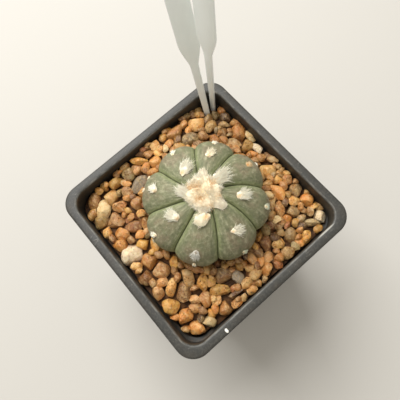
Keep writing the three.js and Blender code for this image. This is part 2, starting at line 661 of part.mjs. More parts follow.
// The top layer: the stones that show, on the layer that they lie in.
function buildGravel(labels) {
  const draw = seededDraws(STONE_SEED + 1);
  const stones = layStones().filter(({ x, y, z, shape }) => {
    return z + shape.height / 2 > gravelLevel(x, y) - VISIBLE_DEPTH;
  });
  const heap = union([buildBed(), ...stones.map((stone) => stoneSolid(stone, draw))]);
  const clear = union([plantClearance(), ...labels]);
  return largestBody(heap.intersect(potInside(BED_BOTTOM, POT_HEIGHT, GAP)).subtract(clear));
}

function buildSoil(labels) {
  const fill = potInside(FLOOR + 2 * GAP, SOIL_TOP, GAP);
  return largestBody(fill.subtract(union([plantClearance(), ...labels])));
}

// One label, grown by a clearance, standing where it passes the rim.
function buildLabel({ atRim, lean, across: turn, headAbove }, grow) {
  const upright = new THREE.Vector3(...lean, Math.sqrt(1 - lean[0] ** 2 - lean[1] ** 2));
  const across = new THREE.Vector3(Math.cos(radians(turn)), Math.sin(radians(turn)), 0);
  across.addScaledVector(upright, -across.dot(upright)).normalize();
  const facing = new THREE.Vector3().crossVectors(across, upright);
  const head = LABEL_HEAD_WIDTH / 2 + grow;
  const stem = LABEL_STEM_TOP_WIDTH / 2 + grow;
  const tip = LABEL_TIP_WIDTH / 2 + grow;
  const corner = LABEL_CORNER;
  const top = LABEL_HEAD_LENGTH + grow;
  const bend = [stem + 0.3, -0.75 * LABEL_SHOULDER, head - 0.2, -0.4 * LABEL_SHOULDER];
  const outline = new THREE.Shape()
    .moveTo(-tip, 2 * LABEL_TIP_WIDTH - LABEL_STEM_LENGTH - grow)
    .lineTo(0, -LABEL_STEM_LENGTH - grow)
    .lineTo(tip, 2 * LABEL_TIP_WIDTH - LABEL_STEM_LENGTH - grow)
    .lineTo(stem, -LABEL_SHOULDER)
    .bezierCurveTo(...bend, head, 0)
    .lineTo(head, top - corner)
    .absarc(head - corner, top - corner, corner, 0, Math.PI / 2, false)
    .lineTo(-head + corner, top)
    .absarc(-head + corner, top - corner, corner, Math.PI / 2, Math.PI, false)
    .lineTo(-head, 0)
    .bezierCurveTo(-bend[2], bend[3], -bend[0], bend[1], -stem, -LABEL_SHOULDER);
  const depth = LABEL_THICKNESS + 2 * grow;
  const plate = new THREE.ExtrudeGeometry(outline, { depth, bevelEnabled: false, curveSegments: 4 });
  const place = new THREE.Matrix4().makeBasis(across, upright, facing);
  const headFoot = new THREE.Vector3(...atRim, POT_HEIGHT).addScaledVector(upright, headAbove);
  return solidOf(plate.translate(0, 0, -depth / 2), place.setPosition(headFoot));
}

// One named sub-part in its own material.
function subPart(name, solid, color, roughness) {
  const material = new THREE.MeshStandardMaterial({ color, roughness, metalness: 0 });
  const mesh = new THREE.Mesh(geometryOf(solid), material);
  mesh.name = name;
  return mesh;
}

const labelClearances = LABELS.map((label) => buildLabel(label, GAP));
const cactus = union([buildStem(0), ...buildTufts(0)]);
const cactusClearance = union([buildStem(GAP), ...buildTufts(GAP)]);

const plant = new THREE.Group();
plant.add(subPart("cactus", largestBody(cactus), 0x77846a, 0.75));
plant.add(subPart("crown_wool", largestBody(buildCrownWool().subtract(cactusClearance)), 0xe9dcc0, 0.95));

const filledPot = new THREE.Group();
filledPot.add(subPart("pot", buildPot(), 0x35383a, 0.5));
filledPot.add(subPart("soil", buildSoil(labelClearances), 0x3b2b20, 0.95));
filledPot.add(subPart("gravel", buildGravel(labelClearances), 0xb9814f, 0.7));

const labels = new THREE.Group();
for (const label of LABELS) labels.add(subPart(label.name, buildLabel(label, 0), 0xe2e4e0, 0.45));

const pottedCactus = new THREE.Group();
pottedCactus.add(filledPot, plant, labels);

export default pottedCactus;
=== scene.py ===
"""Potted star cactus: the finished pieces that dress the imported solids.

A flattened, eight-ribbed cactus with tufts of wool stands in a square charcoal nursery pot, topped with
tan gravel. Two bare plastic plant labels stand in the far corner. Pieces are worked out in millimetres
and brought to metres when they are finished.
"""

import logging
import math
from collections.abc import Iterable, Sequence
from dataclasses import dataclass, field
from enum import Enum
from functools import cached_property
from typing import Any

import bpy
import numpy as np
from mathutils import Matrix, Vector, noise


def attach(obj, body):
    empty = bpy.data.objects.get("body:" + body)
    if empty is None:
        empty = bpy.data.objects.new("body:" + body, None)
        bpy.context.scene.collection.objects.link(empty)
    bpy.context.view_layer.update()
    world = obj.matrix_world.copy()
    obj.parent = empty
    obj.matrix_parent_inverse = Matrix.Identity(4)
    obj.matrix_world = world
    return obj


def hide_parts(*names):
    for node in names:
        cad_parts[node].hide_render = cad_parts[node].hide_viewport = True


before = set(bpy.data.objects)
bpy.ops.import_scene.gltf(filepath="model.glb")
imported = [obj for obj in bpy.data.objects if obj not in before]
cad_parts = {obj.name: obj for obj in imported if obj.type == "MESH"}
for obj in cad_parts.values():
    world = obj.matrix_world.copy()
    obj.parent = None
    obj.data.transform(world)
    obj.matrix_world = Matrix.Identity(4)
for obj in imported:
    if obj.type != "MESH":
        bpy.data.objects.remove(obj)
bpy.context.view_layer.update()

log = logging.getLogger("potted_star_cactus")

MM = 0.001
RIM_HEIGHT = 65.0
Colour = tuple[float, float, float]
Numbers = float | np.ndarray
SizeClass = tuple[float, float, int]
Piece = bpy.types.Object
Socket = bpy.types.NodeSocket
Material = bpy.types.Material


def linear(colour: Colour) -> tuple[float, float, float, float]:
    """Turn a colour of 0 to 255 display values into the linear one that shaders take.

    Args:
        colour: Red, green and blue as they look on a display.

    Returns:
        The linear colour with full opacity.
    """
    shares = [value / 255 for value in colour]
    red, green, blue = [s / 12.92 if s <= 0.04045 else ((s + 0.055) / 1.055) ** 2.4 for s in shares]
    return (red, green, blue, 1.0)


def smoothstep(value: float, low: float, high: float) -> float:
    """Ease from 0 at low to 1 at high."""
    share = min(max((value - low) / (high - low), 0.0), 1.0)
    return share * share * (3 - 2 * share)


def heading(angle: float) -> Vector:
    """Give the level direction at an angle in radians."""
    return Vector((math.cos(angle), math.sin(angle), 0))


def quarter_turn(steps: int = 4) -> list[float]:
    """List the angles of a quarter turn in equal steps, in radians."""
    return [math.radians(90 / steps * step) for step in range(steps + 1)]


def framed(place: Vector, across: Vector, along: Vector, out: Vector) -> Matrix:
    """Give the frame at a place whose X, Y and Z axes are these."""
    return Matrix.Translation(place) @ Matrix((across, along, out)).transposed().to_4x4()


def shaded(colour: Colour, by: float) -> Colour:
    """Darken or lighten a colour by a share."""
    red, green, blue = (min(value * by, 255.0) for value in colour)
    return (red, green, blue)


class Draws:
    """Seeded draws from 0 to 1, by the Park-Miller generator."""

    def __init__(self, seed: int) -> None:
        """Start from a seed."""
        self.state = seed

    def __call__(self) -> float:
        """Give the next draw."""
        self.state = (self.state * 16807) % 2147483647
        return self.state / 2147483647

    def between(self, low: float, high: float) -> float:
        """Give a draw between two values."""
        return low + (high - low) * self()


# ---------------------------------------------------------------------------------------------------
# Shader maths


class Value:
    """A number that varies over a surface. Arithmetic on it adds Math nodes."""

    def __init__(self, graph: "Graph", socket: Socket) -> None:
        """Wrap a node's output."""
        self.graph = graph
        self.socket = socket

    def _math(self, operation: str, *terms: "Value | float", clamp: bool = False) -> "Value":
        """Add one Math node for an operation on these terms.

        Args:
            operation: What the node works out, by Blender's name.
            terms: What it works on, in order.
            clamp: Whether the result is held between 0 and 1.

        Returns:
            The result.
        """
        inputs = dict(enumerate(terms))
        made = self.graph.node("ShaderNodeMath", {"operation": operation, "use_clamp": clamp}, inputs)
        return Value(self.graph, made.outputs[0])

    def __add__(self, other: "Value | float") -> "Value":
        """Sum."""
        return self._math("ADD", self, other)

    __radd__ = __add__

    def __sub__(self, other: "Value | float") -> "Value":
        """Difference."""
        return self._math("SUBTRACT", self, other)

    def __rsub__(self, other: float) -> "Value":
        """Difference from a number."""
        return self._math("SUBTRACT", other, self)

    def __mul__(self, other: "Value | float") -> "Value":
        """Product."""
        return self._math("MULTIPLY", self, other)

    __rmul__ = __mul__

    def __truediv__(self, other: "Value | float") -> "Value":
        """Quotient."""
        return self._math("DIVIDE", self, other)

    def __pow__(self, power: float) -> "Value":
        """Power."""
        return self._math("POWER", self, power)

    def clamped(self) -> "Value":
        """Held between 0 and 1."""
        return self._math("ADD", self, 0.0, clamp=True)

    def largest(self, other: "Value | float") -> "Value":
        """The larger of two."""
        return self._math("MAXIMUM", self, other)

    def size(self) -> "Value":
        """Without its sign."""
        return self._math("ABSOLUTE", self)

    def eased(self, low: float, high: float) -> "Value":
        """0 below low, 1 above high and smooth between them.

        Args:
            low: Where it starts to rise. It may lie above high, and the value then falls.
            high: Where it is 1.

        Returns:
            The eased value.
        """
        settings = {"interpolation_type": "SMOOTHSTEP", "clamp": True}
        inputs: dict[int | str, Any] = {"Value": self, "From Min": low, "From Max": high}
        return Value(self.graph, self.graph.node("ShaderNodeMapRange", settings, inputs).outputs[0])


class Graph:
    """The node tree of one material."""

    def __init__(self, name: str) -> None:
        """Make an empty material with a Principled shader.

        Args:
            name: The material's name.
        """
        self.material = bpy.data.materials.new(name)
        self.material.use_nodes = True
        self.tree = self.material.node_tree
        self.tree.nodes.clear()
        self.shader = self.node("ShaderNodeBsdfPrincipled", {}, {})
        output = self.node("ShaderNodeOutputMaterial", {}, {})
        self.tree.links.new(self.shader.outputs[0], output.inputs[0])

    def node(self, kind: str, settings: dict[str, Any], inputs: dict[Any, Any]) -> bpy.types.Node:
        """Add a node.

        Args:
            kind: The node's type.
            settings: Its own settings, which are set first.
            inputs: By socket name or number, the value or the link that it takes.

        Returns:
            The node.
        """
        made = self.tree.nodes.new(kind)
        for name, value in settings.items():
            setattr(made, name, value)
        for name, value in inputs.items():
            socket = value.socket if isinstance(value, Value) else value
            if isinstance(socket, Socket):
                self.tree.links.new(socket, made.inputs[name])
            else:
                made.inputs[name].default_value = socket
        return made

    def place(self) -> Socket:
        """Give the place on the object, in millimetres."""
        inputs = {0: self.node("ShaderNodeTexCoord", {}, {}).outputs["Object"], "Scale": 1 / MM}
        return self.node("ShaderNodeVectorMath", {"operation": "SCALE"}, inputs).outputs[0]

    def axes(self, place: Socket) -> tuple[Value, Value, Value]:
        """Split a place into its three coordinates."""
        split = self.node("ShaderNodeSeparateXYZ", {}, {0: place})
        return Value(self, split.outputs[0]), Value(self, split.outputs[1]), Value(self, split.outputs[2])

    def moved(self, place: Socket, by: Socket, times: float) -> Socket:
        """Shift a place by a vector times a number."""
        inputs = {0: by, 1: (times, times, times), 2: place}
        return self.node("ShaderNodeVectorMath", {"operation": "MULTIPLY_ADD"}, inputs).outputs[0]

    def stretched(self, place: Socket, scale: Sequence[float]) -> Socket:
        """Scale a place along each axis."""
        inputs = {0: place, 1: tuple(scale)}
        return self.node("ShaderNodeVectorMath", {"operation": "MULTIPLY"}, inputs).outputs[0]

    def grain(self, place: Socket, size: float, detail: float = 3.0, rough: float = 0.55) -> Value:
        """Noise whose features are about a size in millimetres."""
        inputs = {"Vector": place, "Scale": 1 / size, "Detail": detail, "Roughness": rough}
        return Value(self, self.node("ShaderNodeTexNoise", {}, inputs).outputs["Fac"])

    def cells(self, place: Socket, size: float, feature: str = "F1") -> Value:
        """Distance to the nearest of points that lie about a size apart, in millimetres."""
        settings, inputs = {"feature": feature}, {"Vector": place, "Scale": 1 / size}
        return Value(self, self.node("ShaderNodeTexVoronoi", settings, inputs).outputs["Distance"])

    def attribute(self, name: str, output: str) -> Socket:
        """Read one of the mesh's own attributes."""
        return self.node("ShaderNodeAttribute", {"attribute_name": name}, {}).outputs[output]

    def mix(self, share: Value | float, first: Any, second: Any, blend: str = "MIX") -> Socket:
        """Mix two colours.

        Args:
            share: How much of the second shows.
            first: A colour of 0 to 255 display values, or a link.
            second: The same.
            blend: Blender's name for the way of mixing.

        Returns:
            The mixed colour.
        """
        settings = {"data_type": "RGBA", "blend_type": blend}
        pair = [linear(c) if isinstance(c, tuple) else c for c in (first, second)]
        return self.node("ShaderNodeMix", settings, {0: share, 6: pair[0], 7: pair[1]}).outputs[2]

    def dyed(self, colour: Socket, by: Colour) -> Socket:
        """Multiply a colour by another."""
        return self.mix(1.0, colour, by, "MULTIPLY")

    def bump(self, height: Value, depth: float) -> Socket:
        """Turn a height of 0 to 1 into a normal, for a relief of a depth in millimetres."""
        inputs = {"Height": height, "Distance": depth * MM, "Strength": 1.0}
        return self.node("ShaderNodeBump", {}, inputs).outputs[0]

    def finish(self, **inputs: Any) -> Material:
        """Set the shader's sockets by name, with _ for a space, and give the material.

        Args:
            inputs: The value or the link of each socket.

        Returns:
            The material.
        """
        for name, value in inputs.items():
            socket = self.shader.inputs[name.replace("_", " ")]
            source = value.socket if isinstance(value, Value) else value
            if isinstance(source, Socket):
                self.tree.links.new(source, socket)
            else:
                socket.default_value = source
        return self.material


# ---------------------------------------------------------------------------------------------------
# Finishes


@dataclass(frozen=True)
class Mark:
    """An oval mark seen from above, by its middle and its half sizes in millimetres."""

    x: float
    y: float
    half_x: float
    half_y: float

    def reach(self, x: Value, y: Value) -> Value:
        """Give how far out a place lies, as a share of the mark's size."""
        along, across = (x - self.x) / self.half_x, (y - self.y) / self.half_y
        return (along * along + across * across) ** 0.5


@dataclass(frozen=True)
class PotPlastic:
    """Moulded charcoal plastic, dusty inside, worn pale and painted lighter as a highlight on the rim's
    top, with a painted highlight along the rim's inner edge.

    Each side of the rim is straight as far as a distance from its middle, and then turns the corner.
    """

    colour: Colour = (42, 42, 39)
    clouded: Colour = (53, 52, 48)
    # Pale for wear on the rim's top, which also stands for a painted highlight there.
    rubbed_and_highlit: Colour = (90, 88, 80)
    dust: Colour = (92, 74, 54)
    # Pale for real scratches on the rim, and for the painted highlight along its inner edge.
    scratches_and_highlight: Colour = (176, 174, 164)
    grit: Colour = (150, 140, 122)
    chipped: Colour = (236, 232, 220)
    rim_level: float = RIM_HEIGHT
    inside: float = 32.0
    straight: float = 26.4
    chip: Mark = Mark(-19.5, -33.9, 0.42, 0.72)
    # A painted highlight along the rim's inner edge near the +X, -Y corner.
    inner_edge_highlight: Mark = Mark(24.5, -32.0, 4.2, 0.3)

    def material(self) -> Material:
        """Make the material.

        Returns:
            The moulded plastic.
        """
        graph = Graph("charcoal_plastic")
        place = graph.place()
        x, y, height = graph.axes(place)
        cloud = graph.grain(place, 9.0)
        fine = graph.grain(place, 0.6, detail=4.0)
        streak = graph.grain(graph.stretched(place, (0.35, 0.35, 3.0)), 1.4)
        base = graph.mix(cloud.eased(0.35, 0.7) * 0.6, self.colour, self.clouded)
        # The rim's top is worn pale and also painted lighter, as a highlight where light falls on it.
        rim = height.eased(self.rim_level - 1.6, self.rim_level - 0.1)
        wear_and_highlight = rim * (0.25 + 0.75 * fine.eased(0.42, 0.7))
        rubbed_and_highlit = graph.mix((wear_and_highlight * 0.4).clamped(), base, self.rubbed_and_highlit)
        scratch = graph.cells(graph.stretched(place, (0.16, 1.0, 1.0)), 1.9, "DISTANCE_TO_EDGE")
        on_rim = height.eased(self.rim_level - 1.2, self.rim_level - 0.6)
        over_x, over_y = (x.size() - self.straight).largest(0.0), (y.size() - self.straight).largest(0.0)
        across = (over_x * over_x + over_y * over_y) ** 0.5 + self.straight
        # A pale line painted all round the rim's inner edge: a painted highlight.
        inner_edge = (across - self.inside - 0.1).size().eased(0.45, 0.1)
        edge = inner_edge * on_rim * (0.05 + 0.3 * streak.eased(0.4, 0.7))
        scratches = scratch.eased(0.02, 0.0) * graph.grain(place, 4.0).eased(0.55, 0.75) * 0.4
        # Real scratches, plus the painted highlight near the corner.
        scratches_and_highlight = scratches + self.inner_edge_highlight.reach(x, y).eased(1.1, 0.5) * 0.7
        scratched_and_highlit = graph.mix((scratches_and_highlight * on_rim + edge).clamped(), rubbed_and_highlit, self.scratches_and_highlight)
        within = across.eased(self.inside + 0.3, self.inside - 0.2)
        clumps = streak.eased(0.45, 0.75) * 0.3 + graph.grain(place, 2.2).eased(0.5, 0.8) * 0.25
        dusty = (clumps * (0.3 + within * 1.3)).clamped()
        dirt_and_shade = graph.mix(dusty, scratched_and_highlit, self.dust)
        chipped = (self.chip.reach(x, y) + fine).eased(1.6, 1.4) * on_rim
        grit = graph.cells(place, 0.75).eased(0.2, 0.08) * graph.grain(place, 1.7).eased(0.48, 0.7)
        over_gravel = height.eased(self.rim_level - 9, self.rim_level - 6)
        gritty = graph.mix(grit * over_gravel * 0.6, dirt_and_shade, self.grit)
        colour = graph.mix(chipped, gritty, self.chipped)
        return graph.finish(
            Base_Color=colour,
            Roughness=(0.42 + 0.25 * dusty + 0.12 * fine).clamped(),
            Normal=graph.bump(fine * 0.7 + cloud * 0.3, 0.04),
            Specular_IOR_Level=0.4,
        )


@dataclass(frozen=True)
class PottingMix:
    """Dark, fibrous potting mix."""

    dark: Colour = (34, 24, 17)
    pale: Colour = (84, 62, 43)

    def material(self) -> Material:
        """Make the material.

        Returns:
            The mix.
        """
        graph = Graph("potting_mix")
        place = graph.place()
        crumb = graph.grain(place, 1.6, detail=5.0, rough=0.65)
        fibre = graph.cells(graph.stretched(place, (0.3, 1.0, 0.7)), 1.1)
        share = (crumb.eased(0.4, 0.72) * 0.8 + fibre.eased(0.5, 0.9) * 0.3).clamped()
        colour = graph.mix(share, self.dark, self.pale)
        relief = graph.bump(crumb + fibre * 0.4, 0.7)
        return graph.finish(Base_Color=colour, Roughness=0.95, Normal=relief)


@dataclass(frozen=True)
class RiverStone:
    """Waterworn quartz and sandstone. Each stone has its own colour and its own shift of the grain."""

    warmed: Colour = (255, 214, 150)
    stained: Colour = (178, 130, 80)
    banded: Colour = (228, 194, 136)
    pale: Colour = (234, 206, 152)
    pitted: Colour = (104, 62, 30)
    sandy: Colour = (234, 188, 118)
    grained: Colour = (186, 132, 84)
    # Brown laid over stones that lie deep under the surface: partly dirt, partly painted shade in the
    # gaps.
    dirt_and_shade: Colour = (158, 104, 58)
    grain_shift: float = 60.0
    stain_shift: float = 23.0

    def material(self) -> Material:
        """Make the material.

        Returns:
            The stone.
        """
        graph = Graph("river_stone")
        tint = graph.attribute("tint", "Color")
        shift = graph.attribute("shift", "Vector")
        chance, _, _ = graph.axes(shift)
        marked = Value(graph, graph.attribute("marked", "Fac"))
        place = graph.moved(graph.place(), shift, self.grain_shift)
        cloud = graph.grain(place, 2.4)
        speck = graph.grain(place, 0.45, detail=4.0, rough=0.7)
        sand = graph.grain(place, 0.26, detail=2.0, rough=0.7)
        pit = graph.cells(place, 0.7).eased(0.36, 0.1) * chance.eased(0.5, 0.62)
        stain_place = graph.moved(graph.place(), shift, self.stain_shift)
        stain = graph.grain(stain_place, 1.3).eased(0.5, 0.68)
        band = graph.grain(graph.stretched(stain_place, (1.0, 0.35, 0.6)), 0.9).eased(0.5, 0.66)
        warm = graph.mix(cloud.eased(0.4, 0.64) * marked * 0.7, tint, graph.dyed(tint, self.warmed))
        veined = graph.mix(stain * marked * 0.55, warm, graph.dyed(tint, self.stained))
        banded = graph.mix(band * 0.35, veined, self.banded)
        pale = graph.mix((speck.eased(0.54, 0.72) * 0.4).clamped(), banded, self.pale)
        dark = ((pit * 0.7 + speck.eased(0.44, 0.3) * 0.45) * marked).clamped()
        stone = graph.mix(dark, pale, self.pitted)
        sandy = graph.mix(sand.eased(0.5, 0.7) * 0.3, stone, self.sandy)
        grained = graph.mix(sand.eased(0.48, 0.32) * 0.45, sandy, graph.dyed(stone, self.grained))
        # The deeper a point lies under the gravel's surface, the darker and browner: partly settled dirt,
        # partly painted shade between the stones.
        buried = Value(graph, graph.attribute("buried", "Fac")).eased(0.2, 2.6)
        colour = graph.mix(buried * 0.65, grained, graph.dyed(grained, self.dirt_and_shade))
        return graph.finish(
            Base_Color=colour,
            Roughness=(0.1 + 0.5 * speck).clamped(),
            Normal=graph.bump(speck * 0.6 + stain * 0.4 + cloud * 0.6 + sand * 0.3 - pit * 0.8, 0.35),
            Specular_IOR_Level=0.6,
            Subsurface_Weight=0.12,
            Subsurface_Radius=(0.0016, 0.0009, 0.0004),
            Subsurface_Scale=0.5,
        )


@dataclass(frozen=True)
class CactusSkin:
    """Matte grey-green skin, flushed brown over the ribs' shoulders and greener and lighter beside the
    grooves, partly as painted light, with painted shade in each groove's crease.
    """

    green: Colour = (113, 116, 84)
    flush: Colour = (124, 114, 88)
    flank: Colour = (105, 110, 78)
    # Light green beside the grooves: partly the skin's own paler edge, partly painted light that offsets
    # the grooves' shade.
    groove: Colour = (130, 137, 94)
    # Dark for the crease along each groove: painted shade.
    crease: Colour = (66, 70, 42)
    bloom: Colour = (172, 168, 138)
    speck: Colour = (208, 206, 184)
    shade: Colour = (76, 84, 58)
    shoulder_heights: tuple[float, float] = (63.0, 71.0)
    flank_heights: tuple[float, float] = (70.0, 61.0)

    def material(self) -> Material:
        """Make the material.

        Returns:
            The skin.
        """
        graph = Graph("cactus_skin")
        place = graph.place()
        _, _, height = graph.axes(place)
        from_groove = Value(graph, graph.attribute("from_groove", "Fac"))
        along_rib = graph.attribute("along_rib", "Vector")
        cloud = graph.grain(place, 4.2)
        mottle = graph.grain(place, 0.9, detail=4.0, rough=0.65)
        swell = graph.grain(place, 2.4, detail=2.0)
        streak = graph.grain(graph.stretched(along_rib, (1.6, 0.28, 1.0)), 1.0, detail=4.0, rough=0.6)
        fleck = graph.cells(place, 0.42).eased(0.3, 0.05)
        shoulder = from_groove.eased(1.0, 4.2) * height.eased(*self.shoulder_heights)
        warmth = (shoulder * (0.2 + cloud.eased(0.38, 0.66))).clamped()
        flushed = graph.mix(warmth, self.green, self.flush)
        low = graph.mix(height.eased(*self.flank_heights) * 0.8, flushed, self.flank)
        # Lighter green beside each groove, partly painted light against the groove's shade.
        beside = graph.mix(from_groove.eased(1.7, 0.3) * 0.85, low, self.groove)
        streaked = graph.mix(streak.eased(0.5, 0.72) * 0.55, beside, self.bloom)
        mottled = graph.mix(mottle.eased(0.52, 0.72) * 0.4, streaked, self.bloom)
        flecked = graph.mix(fleck * mottle.eased(0.45, 0.6) * 0.5, mottled, self.speck)
        shaded_skin = (mottle.eased(0.48, 0.28) * 0.4 + streak.eased(0.48, 0.3) * 0.5).clamped()
        dark = graph.mix(shaded_skin, flecked, self.shade)
        # The crease along each groove is painted dark, as painted shade.
        colour = graph.mix(from_groove.eased(0.22, 0.04) * 0.85, dark, self.crease)
        return graph.finish(
            Base_Color=colour,
            Roughness=(0.56 + 0.2 * mottle).clamped(),
            Normal=graph.bump(mottle * 0.5 + swell * 1.2 + streak * 0.7 + fleck * 0.2, 0.26),
            Subsurface_Weight=0.06,
            Subsurface_Radius=(0.003, 0.004, 0.0015),
            Subsurface_Scale=0.4,
        )


@dataclass(frozen=True)
class Wool:
    """Matted plant wool. Each strand and pad carries its own colour."""

    shadow: Colour = (206, 164, 108)

    def material(self) -> Material:
        """Make the material.

        Returns:
            The wool.
        """
        graph = Graph("wool")
        place = graph.place()
        felt = graph.grain(place, 0.28, detail=4.0, rough=0.7)
        clump = graph.grain(place, 1.1)
        sunk = (felt.eased(0.5, 0.3) * 0.18 + clump.eased(0.5, 0.3) * 0.1).clamped()
        colour = graph.mix(sunk, graph.attribute("tint", "Color"), self.shadow)
        return graph.finish(
            Base_Color=colour,
            Roughness=0.95,
            Specular_IOR_Level=0.2,
            Sheen_Weight=0.25,
            Normal=graph.bump(felt, 0.3),
        )


@dataclass(frozen=True)
class LabelPlastic:
    """Thin, cool white plastic, a little cloudy."""

    colour: Colour = (243, 248, 244)
    cloud: Colour = (233, 239, 235)

    def material(self) -> Material:
        """Make the material.

        Returns:
            The white plastic.
        """
        graph = Graph("label_plastic")
        place = graph.place()
        cloud = graph.grain(graph.stretched(place, (1.0, 1.0, 0.3)), 6.0)
        fine = graph.grain(place, 0.5)
        colour = graph.mix(cloud.eased(0.35, 0.7) * 0.6, self.colour, self.cloud)
        return graph.finish(
            Base_Color=colour,
            Roughness=(0.36 + 0.14 * fine).clamped(),
            Normal=graph.bump(fine, 0.03),
            Subsurface_Weight=0.15,
            Subsurface_Radius=(0.002, 0.002, 0.002),
            Subsurface_Scale=0.5,
        )


# ---------------------------------------------------------------------------------------------------
# Modelling


class Bench:
    """Blender's operators, used on one piece at a time."""

    @staticmethod
    def clear() -> None:
        """Leave edit mode and deselect everything."""
        if bpy.context.object and bpy.context.object.mode != "OBJECT":
            bpy.ops.object.mode_set(mode="OBJECT")
        bpy.ops.object.select_all(action="DESELECT")

    @staticmethod
    def take(piece: Piece) -> None:
        """Select one piece alone and make it the active one.

        Args:
            piece: The piece.
        """
        Bench.clear()
        piece.select_set(True)
        bpy.context.view_layer.objects.active = piece

    @staticmethod
    def named(name: str) -> Piece:
        """Name the object that an operator has just added.

        Args:
            name: Its name.

        Returns:
            The object.
        """
        piece = bpy.context.object
        piece.name = piece.data.name = name
        return piece

    @staticmethod
    def trace(name: str, points: Sequence[Sequence[float]]) -> Piece:
        """Draw edges from point to point, and leave them selected in edit mode.

        Args:
            name: The piece's name.
            points: The points in order.

        Returns:
            The piece.
        """
        Bench.clear()
        bpy.ops.mesh.primitive_plane_add(size=1)
        piece = Bench.named(name)
        bpy.ops.object.mode_set(mode="EDIT")
        bpy.ops.mesh.select_mode(type="VERT")
        bpy.ops.mesh.merge(type="CENTER")
        bpy.ops.transform.translate(value=points[0])
        for before, after in zip(points, points[1:]):
            step = [end - start for start, end in zip(before, after, strict=True)]
            bpy.ops.mesh.extrude_region_move(TRANSFORM_OT_translate={"value": step})
        bpy.ops.mesh.select_all(action="SELECT")
        return piece

    @staticmethod
    def apply(piece: Piece, kind: str, **settings: Any) -> None:
        """Add a modifier with these settings and apply it.

        Args:
            piece: The piece.
            kind: The modifier's type.
            settings: Its settings by name.
        """
        Bench.take(piece)
        modifier = piece.modifiers.new(kind.lower(), kind)
        for name, value in settings.items():
            setattr(modifier, name, value)
        bpy.ops.object.modifier_apply(modifier=modifier.name)

    @staticmethod
    def carve(piece: Piece, tool: Piece, operation: str = "DIFFERENCE") -> None:
        """Cut a piece with a tool, or join them, and throw the tool away."""
        Bench.apply(piece, "BOOLEAN", operation=operation, object=tool, solver="EXACT")
        bpy.data.objects.remove(tool)

    @staticmethod
    def points(piece: Piece) -> np.ndarray:
        """Give a mesh's vertices as rows.

        Args:
            piece: The mesh.

        Returns:
            A row of X, Y and Z for each vertex.
        """
        flat = np.zeros(3 * len(piece.data.vertices))
        piece.data.vertices.foreach_get("co", flat)
        return flat.reshape(-1, 3)

    @staticmethod
    def set_points(piece: Piece, rows: np.ndarray) -> None:
        """Move a mesh's vertices to these rows."""
        piece.data.vertices.foreach_set("co", rows.ravel())
        piece.data.update()

    @staticmethod
    def join(pieces: Sequence[Piece], name: str) -> Piece:
        """Join pieces into the first of them.

        Args:
            pieces: The pieces.
            name: The name that they get.

        Returns:
            The joined piece.
        """
        Bench.take(pieces[0])
        for piece in pieces:
            piece.select_set(True)
        bpy.ops.object.join()
        return Bench.named(name)

    @staticmethod
    def outward(piece: Piece) -> None:
        """Merge doubles and point every face outwards.

        Args:
            piece: A closed mesh.
        """
        Bench.take(piece)
        bpy.ops.object.mode_set(mode="EDIT")
        bpy.ops.mesh.select_all(action="SELECT")
        bpy.ops.mesh.remove_doubles(threshold=1e-4)
        bpy.ops.mesh.normals_make_consistent(inside=False)
        bpy.ops.object.mode_set(mode="OBJECT")

    @staticmethod
    def smooth(piece: Piece, angle: float) -> None:
        """Shade a piece smooth where its faces meet at less than an angle in degrees."""
        Bench.take(piece)
        bpy.ops.object.shade_smooth_by_angle(angle=math.radians(angle))

    @staticmethod
    def paint(piece: Piece, name: str, kind: str, values: np.ndarray) -> None:
        """Give each vertex an attribute.

        Args:
            piece: The mesh.
            name: The attribute's name.
            kind: Its type.
            values: A value for each vertex.
        """
        layer = piece.data.attributes.new(name, kind, "POINT")
        slot = {"FLOAT": "value", "FLOAT_COLOR": "color", "FLOAT_VECTOR": "vector"}[kind]
        layer.data.foreach_set(slot, np.asarray(values, dtype=np.float32).ravel())

    @staticmethod
    def hand_over(piece: Piece, slot: str, material: Material, replaced: Iterable[str] = ()) -> Piece:
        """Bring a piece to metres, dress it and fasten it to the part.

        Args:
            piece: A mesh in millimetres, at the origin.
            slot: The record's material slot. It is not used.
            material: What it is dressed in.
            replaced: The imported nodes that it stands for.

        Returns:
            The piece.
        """
        piece.data.transform(Matrix.Scale(MM, 4))
        piece.data.materials.clear()
        piece.data.materials.append(material)
        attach(piece, "root")
        if replaced:
            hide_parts(*replaced)
        log.info("%s: %d faces", piece.name, len(piece.data.polygons))
        return piece


@dataclass(frozen=True)
class Ring:
    """A rounded square about the pot's axis."""

    half: float
    height: float
    radius: float

    def holds(self, point: Vector) -> bool:
        """Tell whether a point lies on the ring.

        Args:
            point: The point.

        Returns:
            Whether it does.
        """
        if abs(point.z - self.height) > 1e-3:
            return False
        over = [abs(value) - (self.half - self.radius) for value in (point.x, point.y)]
        outside = math.hypot(max(over[0], 0.0), max(over[1], 0.0))
        return abs(outside + min(max(over), 0.0) - self.radius) < 0.02


